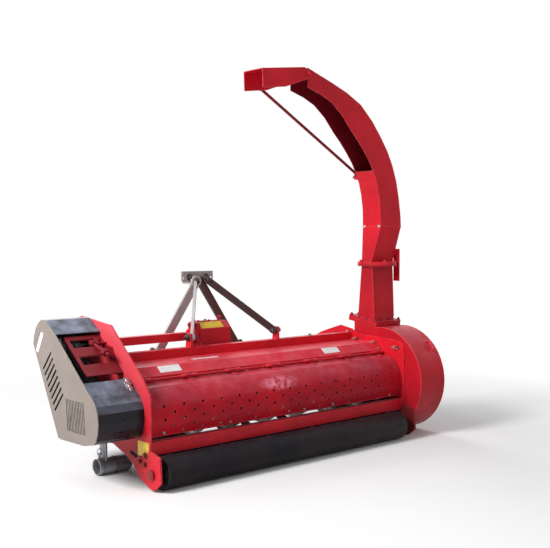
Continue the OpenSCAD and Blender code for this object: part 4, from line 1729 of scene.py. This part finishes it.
@dataclass
class Blower:
    """Beads, bolts, hub and lug of the blower housing and its outlet column."""

    left_x: float = 920.0
    right_x: float = 1146.0
    radius: float = 318.0
    axis: Pair = (0.0, 325.0)
    bead_inset: float = 1.5
    bead_start: int = 84
    bead_end: int = 343
    bead_step: int = 6
    face_bolt_radius: float = 0.292
    face_bolt_count: int = 10
    hub_radius: float = 0.078
    hub_thick: float = 0.003
    hub_rivet_radius: float = 0.064
    lug_x: float = 1096.0
    lug_angle: float = math.radians(139)
    lug_fold: tuple[Pair, ...] = ((-34, -2), (-28, 18), (28, 18), (34, -2))
    flange: Pair = (154.0, 676.0)
    flange_rise: float = 0.017
    flange_places: tuple[Pair, ...] = (
        (-108, -104), (-108, -36), (-108, 36), (-108, 104), (108, -104), (108, -36), (108, 36), (108, 104),
        (-36, -108), (-36, 108), (36, -108), (36, 108))
    lean: float = math.radians(8.7)
    ring: Point = (1004.0, 110.0, 1048.3)
    ring_radius: float = 0.110
    column_foot_z: float = 640.0
    column_top_z: float = 1022.0
    column_rise: float = 383.0
    column_foot: tuple[Pair, Pair] = ((922, 1106), (56, 196))
    column_top: tuple[Pair, Pair] = ((910, 1098), (66, 152))
    seam_start: Pair = (700.0, 716.0)

    def rim_beads(self) -> Piece:
        """Weld the wrapper to the two side plates.

        Returns:
            The beads as one piece.
        """
        angles = [math.radians(a) for a in range(self.bead_start, self.bead_end, self.bead_step)]
        arc = [(Y * math.cos(a) + Z * math.sin(a)) * (self.radius - self.bead_inset) * MM for a in angles]
        beads = []
        for x in (self.left_x + 3, self.right_x - 3):
            centre = spot(x, *self.axis)
            beads.append(Bench.bead("bead", [centre + place for place in arc], 0.0036))
        return Bench.unite("blower_welds", beads, RED, Body.FRAME, Slot.RED)

    def face_bolts(self) -> Piece:
        """Bolt the blower's removable outer plate.

        Returns:
            The bolts.
        """
        centre = spot(self.right_x, *self.axis)
        places = circle(centre, self.face_bolt_radius, self.face_bolt_count, start=math.radians(12))
        kit = BoltKit(0.012, 0.018, 0.002)
        return kit.set("blower_bolts", [(place, X) for place in places], Body.FRAME, RED_SHADED, Slot.RED)

    def hub_plate(self) -> Piece:
        """Rivet the bearing's plate round the shaft on the outer face.

        Returns:
            The plate with its rivets.
        """
        seat = spot(self.right_x, *self.axis)
        face = seat + X * self.hub_thick
        plate = Bench.rod("blower_hub", seat - X * 0.001, face, self.hub_radius, 40)
        Bench.step(plate, X, 0.030, 0.0012)
        Bench.ease(plate, 0.0006, 1)
        rivets = [Bench.rivet(place, X) for place in circle(face, self.hub_rivet_radius, 4, start=0.4)]
        return Bench.unite("blower_hub", [plate, *rivets], RED_SHADED, Body.FRAME, Slot.RED)

    def rim_lug(self) -> Piece:
        """Weld the small lifting lug on the rim's rear shoulder.

        Returns:
            The lug with its bolt.
        """
        out = Vector((0, math.cos(self.lug_angle), math.sin(self.lug_angle)))
        run = out.cross(-X)
        seat = spot(self.lug_x, *self.axis) + out * self.radius * MM
        path = [seat + (run * a + out * b) * MM for a, b in self.lug_fold]
        lug = Bench.strip("lug", path, X, 0.022, 0.005)
        knob = BoltKit(0.012, 0.018, 0.005).copies([(seat + out * 0.020, out)])
        return Bench.unite("blower_lug", [lug, *knob], RED, Body.FRAME, Slot.RED)

    def flange_bolts(self) -> Piece:
        """Bolt the column's leaning flange to the housing's.

        Returns:
            The bolts.
        """
        run = Vector((0, math.cos(self.lean), math.sin(self.lean)))
        up = run.cross(-X)
        middle = spot((self.left_x + self.right_x) / 2, *self.flange) + up * self.flange_rise
        seats = [(middle + (X * dx + run * dy) * MM, up) for dx, dy in self.flange_places]
        kit = BoltKit(0.016, 0.024, 0.008, 0.005)
        return kit.set("column_flange_bolts", seats, Body.FRAME, RED_SHADED, Slot.RED)

    def ring_bolts(self) -> Piece:
        """Bolt the swivel's upper ring, which turns with the spout.

        Returns:
            The bolts.
        """
        places = circle(spot(*self.ring), self.ring_radius, 8, X, Y, math.radians(22.5))
        kit = BoltKit(0.014, 0.020, 0.007, 0.004)
        return kit.set("swivel_bolts", [(place, Z) for place in places], Body.SPOUT, RED, Slot.RED)

    def column_seams(self) -> Piece:
        """Weld the column's four upright corners.

        Returns:
            The seams as one piece.
        """
        beads = []
        for i in (0, 1):
            for j in (0, 1):
                z = self.seam_start[j]
                foot = Vector((self.column_foot[0][i], self.column_foot[1][j], 0))
                head = Vector((self.column_top[0][i], self.column_top[1][j], 0))
                start = spot(*foot.lerp(head, (z - self.column_foot_z) / self.column_rise)) + Z * z * MM
                end = spot(*head) + Z * self.column_top_z * MM
                beads.append(Bench.bead("seam", [start, (start + end) / 2, end], 0.003))
        return Bench.unite("column_welds", beads, RED, Body.FRAME, Slot.RED)

    def build(self) -> list[Piece]:
        """Build every piece of the blower and column."""
        return [self.rim_beads(), self.face_bolts(), self.hub_plate(), self.rim_lug(), self.flange_bolts(),
                self.ring_bolts(), self.column_seams()]


@dataclass
class Spout:
    """Seams, joint, end flap and fixings of the curved spout."""

    low_y: float = 35.0
    high_y: float = 185.0
    foot_x: Pair = (953.0, 1146.0)
    fold_z: float = 1272.0
    outer: tuple[Pair, ...] = (
        (1146, 1272), (1142, 1340), (1124, 1455), (1100, 1556), (1063, 1652), (1017, 1736), (958, 1816),
        (874, 1914), (768, 2006), (644, 2066), (512, 2112), (322, 2172))
    seam_inset: Pair = (1.5, 2.5)
    tack_x: Pair = (949.5, 953.5)
    tack_inset: float = 14.0
    tack_half: Pair = (9.0, 7.0)
    flap_pin: Pair = (322.0, 2138.0)
    stay_pin: Pair = (96.0, 2052.0)
    flap_side: tuple[Pair, ...] = (
        (290, 2172), (336, 2160), (342, 2118), (145, 2046), (-24, 2021), (-28, 2127))
    flap_gap: float = 6.0
    flap_wall: float = 0.004
    flap_bolt_gap: float = 14.0
    lip_gap: float = 4.0
    lip_root: Pair = (336.0, 2117.0)
    stay_eye: Pair = (915.0, 1597.0)
    stay_gap: float = 28.0
    stay_lean: float = math.radians(29)
    wing_fold: tuple[Pair, ...] = ((6, 0), (13, 10), (18, 19))
    lever: Pair = (1136.0, 1111.0)
    lever_bolts_y: Pair = (64.0, 76.0)

    def seams(self) -> Piece:
        """Weld the curved back sheet to the two side plates.

        Returns:
            The seams as one piece.
        """
        inward, sideways = self.seam_inset
        beads = []
        for y in (self.low_y + sideways, self.high_y - sideways):
            path = [spot(x - inward, y, z - inward) for x, z in self.outer]
            beads.append(Bench.bead("seam", path, 0.0030))
        return Bench.unite("spout_welds", beads, RED, Body.SPOUT, Slot.RED)

    def joint(self) -> Piece:
        """Run the raised joint round the spout where foot and bend meet.

        Returns:
            The bead.
        """
        (x0, x1), y0, y1 = self.foot_x, self.low_y, self.high_y
        path = [spot(x, y, self.fold_z) for x, y in ((x0, y0), (x1, y0), (x1, y1), (x0, y1))]
        return Bench.dress(Bench.bead("spout_joint", path, 0.0032, closed=True), RED, Body.SPOUT, Slot.RED)

    def tacks(self) -> Piece:
        """Tack a small worn plate at each corner of the joint's left side.

        Returns:
            The plates as one piece.
        """
        (x0, x1), (dy, dz), z = self.tack_x, self.tack_half, self.fold_z
        parts = [Bench.block("tack", spot(x0, y - dy, z - dz), spot(x1, y + dy, z + dz), 0.0012)
                 for y in (self.low_y + self.tack_inset, self.high_y - self.tack_inset)]
        return Bench.unite("spout_tacks", parts, WORN_STEEL, Body.SPOUT, Slot.WORN)

    def flap_sheet(self) -> Piece:
        """Fold the flap's sheet, open underneath and at both ends.

        Returns:
            The sheet.
        """
        y0, y1 = self.low_y - self.flap_gap, self.high_y + self.flap_gap
        xs, zs = zip(*self.flap_side)
        sheet = Bench.block("sheet", spot(min(xs), y0, min(zs)), spot(max(xs), y1, max(zs)), 0.0)
        corners = [spot(x, y0, z) for x, z in self.flap_side]
        cuts = [(here, (there - here).cross(Y).normalized())
                for here, there in zip(corners, corners[1:] + corners[:1])]
        Bench.pare(sheet, cuts)
        Bench.shell(sheet, [way for _, way in cuts[:-1]], self.flap_wall)
        return Bench.ease(sheet, 0.0008, 1)

    def flap(self) -> Piece:
        """Make the end flap with its pivots and stay pin.

        Returns:
            The flap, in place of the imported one.
        """
        y0, y1 = self.low_y - self.flap_gap, self.high_y + self.flap_gap
        pins = (
            ("pivot", self.flap_pin, y0 - 6, y0 + 16, 0.008, 24),
            ("pivot", self.flap_pin, y1 - 16, y1 + 6, 0.008, 24),
            ("cap", self.flap_pin, y0 - 8, y0, 0.014, 28),
            ("cap", self.flap_pin, y1, y1 + 8, 0.014, 28),
            ("stay_pin", self.stay_pin, y1 - 1, y1 + 18, 0.007, 20),
            ("stay_head", self.stay_pin, y1 + 12, y1 + 18, 0.012, 24))
        rods = [Bench.ease(Bench.rod(name, spot(x, a, z), spot(x, b, z), radius, sides), 0.0008, 1)
                for name, (x, z), a, b, radius, sides in pins]
        flap = Bench.unite("end_flap", [self.flap_sheet(), *rods], RED, Body.FLAP, Slot.RED)
        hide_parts("flap")
        return flap

    def flap_bolts(self) -> Piece:
        """Put a bolt on each end of the flap's pivot.

        Returns:
            The bolts.
        """
        x, z = self.flap_pin
        y0, y1 = self.low_y - self.flap_bolt_gap, self.high_y + self.flap_bolt_gap
        seats = [(spot(x, y0, z), -Y), (spot(x, y1, z), Y)]
        return BoltKit(0.016, 0.024, 0.006).set("flap_bolts", seats, Body.FLAP, RED, Slot.RED)

    def flap_lips(self) -> Piece:
        """Roll the flap's free edges.

        Returns:
            The lips as one piece.
        """
        (xm, zm), (xe, ze), (xt, zt) = self.flap_side[-3:]
        y0, y1 = self.low_y - self.lip_gap, self.high_y + self.lip_gap
        paths = []
        for y in (y0, y1):
            end = spot(xe + 1, y, ze + 1)
            paths.append([end, spot(xm, y, zm + 1), spot(self.lip_root[0], y, self.lip_root[1])])
            paths.append([end, spot(xt + 1, y, zt - 1)])
        paths.append([spot(xt + 1, y, zt - 1) for y in (y0, (y0 + y1) / 2, y1)])
        beads = [Bench.bead("lip", path, 0.0028) for path in paths]
        return Bench.unite("flap_lips", beads, RED, Body.FLAP, Slot.RED)

    def guide_bolt(self) -> Piece:
        """Clamp the stay rod's guide with a wing bolt.

        Returns:
            The wing bolt.
        """
        away = Vector((math.sin(self.stay_lean), 0, math.cos(self.stay_lean)))
        seat = spot(self.stay_eye[0], self.high_y + self.stay_gap, self.stay_eye[1])
        parts = [Bench.rod("stem", seat - Y * 0.001, seat + Y * 0.014, 0.005, 12)]
        for s in (-1, 1):
            path = [seat + (Y * a + away * s * b) * MM for a, b in self.wing_fold]
            parts.append(Bench.strip("wing", path, away.cross(Y), 0.010, 0.003))
        return Bench.unite("guide_wing_bolt", parts, STEEL, Body.SPOUT, Slot.STEEL)

    def lever_bolts(self) -> Piece:
        """Bolt the turning lever to its spacer.

        Returns:
            The bolts.
        """
        seats = [(spot(self.lever[0], y, self.lever[1]), X) for y in self.lever_bolts_y]
        return BoltKit(0.010, 0.014, 0.005).set("lever_bolts", seats, Body.SPOUT, RED, Slot.RED)

    def build(self) -> list[Piece]:
        """Build every piece of the spout and flap."""
        return [self.seams(), self.joint(), self.tacks(), self.flap(), self.flap_bolts(), self.flap_lips(),
                self.guide_bolt(), self.lever_bolts()]


@dataclass
class GroundGear:
    """The roller's drum, the two parking stands and their fittings."""

    roller_axis: Pair = (-215.0, 80.0)
    roller_radius: float = 80.0
    drum_ends: Pair = (-880.0, 826.0)
    axle_ends: tuple[Pair, Pair] = ((-940, -868), (814, 915))
    band_gap: float = 1.5
    band_inset: float = 2.0
    seam_inset: float = 2.3
    seam_places: Pair = (-300.0, 296.0)
    seam_points: int = 60
    seam_wobble: float = 1.5
    foot: Pair = (225.0, 42.0)
    foot_radius: float = 42.0
    foot_end: float = 966.0
    foot_root: float = 780.0
    strap_x: Pair = (-930.0, 902.0)
    strap_thick: float = 10.0
    strap_low: Pair = (195.0, 60.0)
    strap_high: Pair = (255.0, 211.0)
    collars: tuple[Pair, Pair] = ((942.0, 1.4), (868.0, 2.6))
    collar_bead: float = 2.2
    collar_clear: float = 0.0025
    pin_x: float = 948.0
    cap_ends: Pair = (-940.5, -934.0)

    def stand(self, name: str, side: int, strap_x: float) -> Piece:
        """Hang a bored foot tube on its strap.

        Args:
            name: the piece's name.
            side: -1 for the left end, 1 for the right.
            strap_x: the strap's left face.

        Returns:
            The stand.
        """
        (y0, z0), (y1, z1) = self.strap_low, self.strap_high
        strap = Bench.block("strap", spot(strap_x, y0, z0), spot(strap_x + self.strap_thick, y1, z1), 0.0014)
        root, end = (spot(side * x, *self.foot) for x in (self.foot_root, self.foot_end))
        tube = Bench.rod("tube", root, end, self.foot_radius * MM, 56)
        Bench.step(tube, X * side, 0.005, -0.060)
        Bench.step(tube, X * -side, 0.006, -0.004)
        Bench.ease(tube, 0.0010, 1)
        return Bench.unite(name, [strap, tube], FOOT_STEEL, Body.FRAME, Slot.STEEL)

    def stands(self) -> list[Piece]:
        """Build the two parking stands.

        Returns:
            The stands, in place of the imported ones.
        """
        left = self.stand("parking_stand_left", -1, self.strap_x[0])
        right = self.stand("parking_stand_right", 1, self.strap_x[1])
        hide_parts("stand_left")
        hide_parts("stand_right")
        return [left, right]

    def drum(self) -> Piece:
        """Build the roller's drum with its stub axles.

        Returns:
            The drum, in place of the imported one.
        """
        start, end = (spot(x, *self.roller_axis) for x in self.drum_ends)
        body = Bench.rod("drum", start, end, self.roller_radius * MM, 96)
        for way in (X, -X):
            Bench.step(body, way, 0.007, -0.010)
        Bench.ease(body, 0.0016)
        parts = [body]
        for ends in self.axle_ends:
            root, tip = (spot(x, *self.roller_axis) for x in ends)
            parts.append(Bench.ease(Bench.rod("axle", root, tip, 0.016, 28), 0.0015))
        roller = Bench.unite("roller_drum", parts, ROLLER, Body.ROLLER, Slot.ROLLER)
        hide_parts("ground_roller")
        return roller

    def roller_bands(self) -> Piece:
        """Weld the roller's end rings and its two round seams.

        Returns:
            The rings and seams as one piece.
        """
        count, radius = self.seam_points, (self.roller_radius - self.seam_inset) * MM
        bands = []
        for x in (self.drum_ends[0] - self.band_gap, self.drum_ends[1] + self.band_gap):
            start, end = (spot(x + s * self.band_gap, *self.roller_axis) for s in (-1, 1))
            ring = Bench.rod("band", start, end, (self.roller_radius - self.band_inset) * MM, 64)
            for way in (X, -X):
                Bench.step(ring, way, 0.004, -0.0015)
            bands.append(ring)
        for x in self.seam_places:
            round_path = circle(spot(x, *self.roller_axis), radius, count)
            path = [place + X * self.seam_wobble * MM * math.sin(5 * math.tau * i / count)
                    for i, place in enumerate(round_path)]
            bands.append(Bench.bead("weld", path, 0.0022, closed=True))
        return Bench.unite("roller_bands", bands, ROLLER, Body.ROLLER, Slot.ROLLER)

    def roller_caps(self) -> Piece:
        """Cap the roller's left stub axle outside its bracket.

        Returns:
            The cap.
        """
        start, end = (spot(x, *self.roller_axis) for x in self.cap_ends)
        cap = Bench.rod("roller_caps", start, end, 0.024, 28)
        Bench.step(cap, -X, 0.005, 0.002)
        return Bench.dress(Bench.ease(cap, 0.001), RED_SHADED, Body.ROLLER, Slot.RED)

    def foot_collars(self) -> Piece:
        """Clamp a dark ring near each foot tube's end and weld its root.

        Returns:
            The rings as one piece, kept clear of the ground.
        """
        rings = []
        for s in (-1, 1):
            for x, grow in self.collars:
                radius = (self.foot_radius + grow - self.collar_bead) * MM
                path = circle(spot(s * x, *self.foot), radius, 48)
                for place in path:
                    place.z = max(place.z, self.collar_clear)
                rings.append(Bench.bead("ring", path, self.collar_bead * MM, closed=True))
        return Bench.unite("foot_collars", rings, MAST_DARK, Body.FRAME, Slot.MAST)

    def foot_pins(self) -> Piece:
        """Put a height pin with a ring on each foot tube.

        Returns:
            The pins as one piece.
        """
        parts = []
        for s in (-1, 1):
            at = spot(s * self.pin_x, self.foot[0], self.foot[1] + self.foot_radius)
            neck = at + Z * 0.020
            parts.append(Bench.rod("pin", at - Z * 0.004, neck, 0.007, 16))
            parts.append(Bench.ease(Bench.rod("pin_head", neck, neck + Z * 0.006, 0.012, 16), 0.0012, 1))
            parts.append(Bench.bead("pin_ring", circle(at + Z * 0.036, 0.014, 20, Z, X), 0.0018, closed=True))
        return Bench.unite("foot_pins", parts, STEEL, Body.FRAME, Slot.STEEL)

    def build(self) -> list[Piece]:
        """Build every piece at ground level."""
        return [self.drum(), *self.stands(), self.roller_bands(), self.roller_caps(), self.foot_collars(),
                self.foot_pins()]


# ------------------------------------------------------------- CAD dressing
@dataclass
class SolidFinishes:
    """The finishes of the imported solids."""

    common: Finish = RED
    others: dict[str, Finish] = field(default_factory=lambda: {
        # some finishes here paint light: the left end plate's sunlit red, the shaded reds of housing, column,
        # gearbox, cover, tensioner and right roller arm, and the mast's sunlit left pieces and darker right
        # leg and brace as painted shade
        "end_plate_left": RED_SUNLIT, "blower_housing": RED_SHADED_HOUSING, "outlet_column": RED_SHADED_HOUSING,
        "gearbox": RED_SHADED_HOUSING, "roller_arm_right": RED_SHADED, "rear_cover": RED_SHADED_COVER, "spout": RED_SPOUT,
        "tensioner": RED_SHADED, "guard_face": GUARD, "guard_shell": RIM, "trough": TROUGH_STEEL,
        "mast_head": MAST_GREY, "mast_leg_left": MAST_SUNLIT, "mast_brace_left": MAST_SUNLIT,
        "mast_leg_right": MAST_SHADED, "mast_brace_right": MAST_DARK, "hitch_left": MAST_DARK,
        "hitch_right": MAST_DARK, "belts": RUBBER, "stand_left": FOOT_STEEL, "stand_right": FOOT_STEEL,
        "ground_roller": ROLLER, "stay_rod": STAY_PAINT, "flail_rotor": STEEL, "auger_tube": STEEL,
        "auger_flight": WORN_STEEL, "auger_shaft": STEEL, "auger_pulley": STEEL, "impeller": STEEL,
        "drive_shaft": STEEL, "pto_shaft": STEEL})

    def apply(self) -> int:
        """Give every solid its finish.

        Returns:
            How many solids were dressed.
        """
        for name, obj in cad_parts.items():
            material = PAINT(self.others.get(name, self.common))
            if not obj.material_slots:
                obj.data.materials.append(material)
            for slot in obj.material_slots:
                slot.material = material
        return len(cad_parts)


# ------------------------------------------------------------------- studio
@dataclass
class Studio:
    """The pale floor, the soft light and the camera."""

    eye: Point = (-3288.0, -3715.0, 1172.0)
    yaw: float = 0.730
    pitch: float = -0.0353
    lens: float = 58.9
    sky: float = 0.38
    sky_colour: Colour = (0.97, 0.98, 1.0)
    gloss: float = 0.9
    floor_size: float = 120.0
    floor_drop: float = 0.0005
    fade: Pair = (1.6, 3.6)
    lamps: tuple[tuple[str, Point, Point, float, float], ...] = (
        ("key", (-6.0, 0.2, 4.4), (0.1, -0.1, 0.8), 2.2, 520.0),
        ("fill", (1.0, -6.5, 3.6), (0.1, 0.0, 0.7), 3.4, 48.0),
        ("back", (2.5, 5.5, 4.6), (0.0, 0.0, 0.7), 3.0, 120.0))

    def camera(self) -> bpy.types.Object:
        """Stand the camera behind the machine's left corner.

        Returns:
            The camera.
        """
        data = bpy.data.cameras.new("camera")
        data.lens = self.lens
        data.sensor_width = 36.0
        data.clip_end = 100.0
        obj = bpy.data.objects.new("camera", data)
        obj.location = spot(*self.eye)
        obj.rotation_euler = (math.pi / 2 + self.pitch, 0.0, -self.yaw)
        bpy.context.collection.objects.link(obj)
        bpy.context.scene.camera = obj
        return obj

    def lamp(self, name: str, place: Point, aim: Point, size: float, watts: float) -> bpy.types.Object:
        """Hang a square soft light.

        Args:
            name: the lamp's name.
            place: where it hangs, in metres.
            aim: the point that it faces, in metres.
            size: the length of its sides in metres.
            watts: its power.

        Returns:
            The lamp.
        """
        data = bpy.data.lights.new(name, "AREA")
        data.size = size
        data.energy = watts
        obj = bpy.data.objects.new(name, data)
        obj.location = place
        obj.rotation_euler = (Vector(aim) - Vector(place)).to_track_quat("-Z", "Y").to_euler()
        bpy.context.collection.objects.link(obj)
        return obj

    def world(self) -> None:
        """Light the scene evenly and show white behind it."""
        world = bpy.data.worlds.new("studio")
        bpy.context.scene.world = world
        world.use_nodes = True
        world.node_tree.nodes.clear()
        w = Wiring(world.node_tree)
        ray = w.add("LightPath").outputs
        seen = w.maths("MAXIMUM", ray["Is Camera Ray"], ray["Is Transmission Ray"])
        shown = w.maths("MAXIMUM", seen, w.product(ray["Is Glossy Ray"], self.gloss))
        soft = w.add("Background", {"Color": (*self.sky_colour, 1.0), "Strength": self.sky})
        white = w.add("Background", {"Color": PURE_WHITE})
        mix = w.add("MixShader", {"Fac": shown, 1: soft.outputs[0], 2: white.outputs[0]})
        w.add("OutputWorld", {"Surface": mix.outputs[0]})

    def floor(self) -> bpy.types.Object:
        """Lay a wide pale floor that fades into the white surround.

        Returns:
            The floor.
        """
        Bench.clear()
        bpy.ops.mesh.primitive_plane_add(size=self.floor_size, location=(0, 0, -self.floor_drop))
        obj = Bench.settle("floor")
        g = Graph("floor_pale")
        tone = g.layer((0.93, 0.93, 0.93), (0.90, 0.90, 0.905), g.spread(g.noise(0.8), 0.35, 0.65))
        obj.data.materials.append(g.show(tone, g.spread(g.noise(3.0), 0.3, 0.7, 0.86, 0.94)))
        g.feed(g.shader, "Specular IOR Level", 0.1)
        far = g.spread(g.vector("LENGTH", g.coords).outputs["Value"], *self.fade)
        seen = g.product(far, g.add("LightPath").outputs["Is Camera Ray"])
        glow = g.add("Emission", {"Color": PURE_WHITE})
        mix = g.add("MixShader", {"Fac": seen, 1: g.shader.outputs["BSDF"], 2: glow.outputs["Emission"]})
        g.feed(g.nodes["Material Output"], "Surface", mix.outputs["Shader"])
        return obj

    def build(self) -> None:
        """Set up the surround, the floor and the lamps."""
        self.world()
        self.floor()
        for lamp in self.lamps:
            self.lamp(*lamp)
        bpy.context.scene.view_settings.view_transform = "Standard"


def main() -> None:
    """Build the machine's pieces in order and report each one."""
    logging.basicConfig(level=logging.INFO, format="%(message)s")
    studio = Studio()
    studio.camera()
    log.info("dressed %d solids", SolidFinishes().apply())
    assemblies = (BeltGuard, EndPlates, Hood, RearCover, HitchFrame, GearboxTrim, Blower, Spout, GroundGear)
    for assembly in assemblies:
        for piece in assembly().build():
            log.info("%s: %s, %d faces", assembly.__name__, piece.name, len(piece.data.polygons))
    studio.build()


if __name__ == "__main__":
    main()
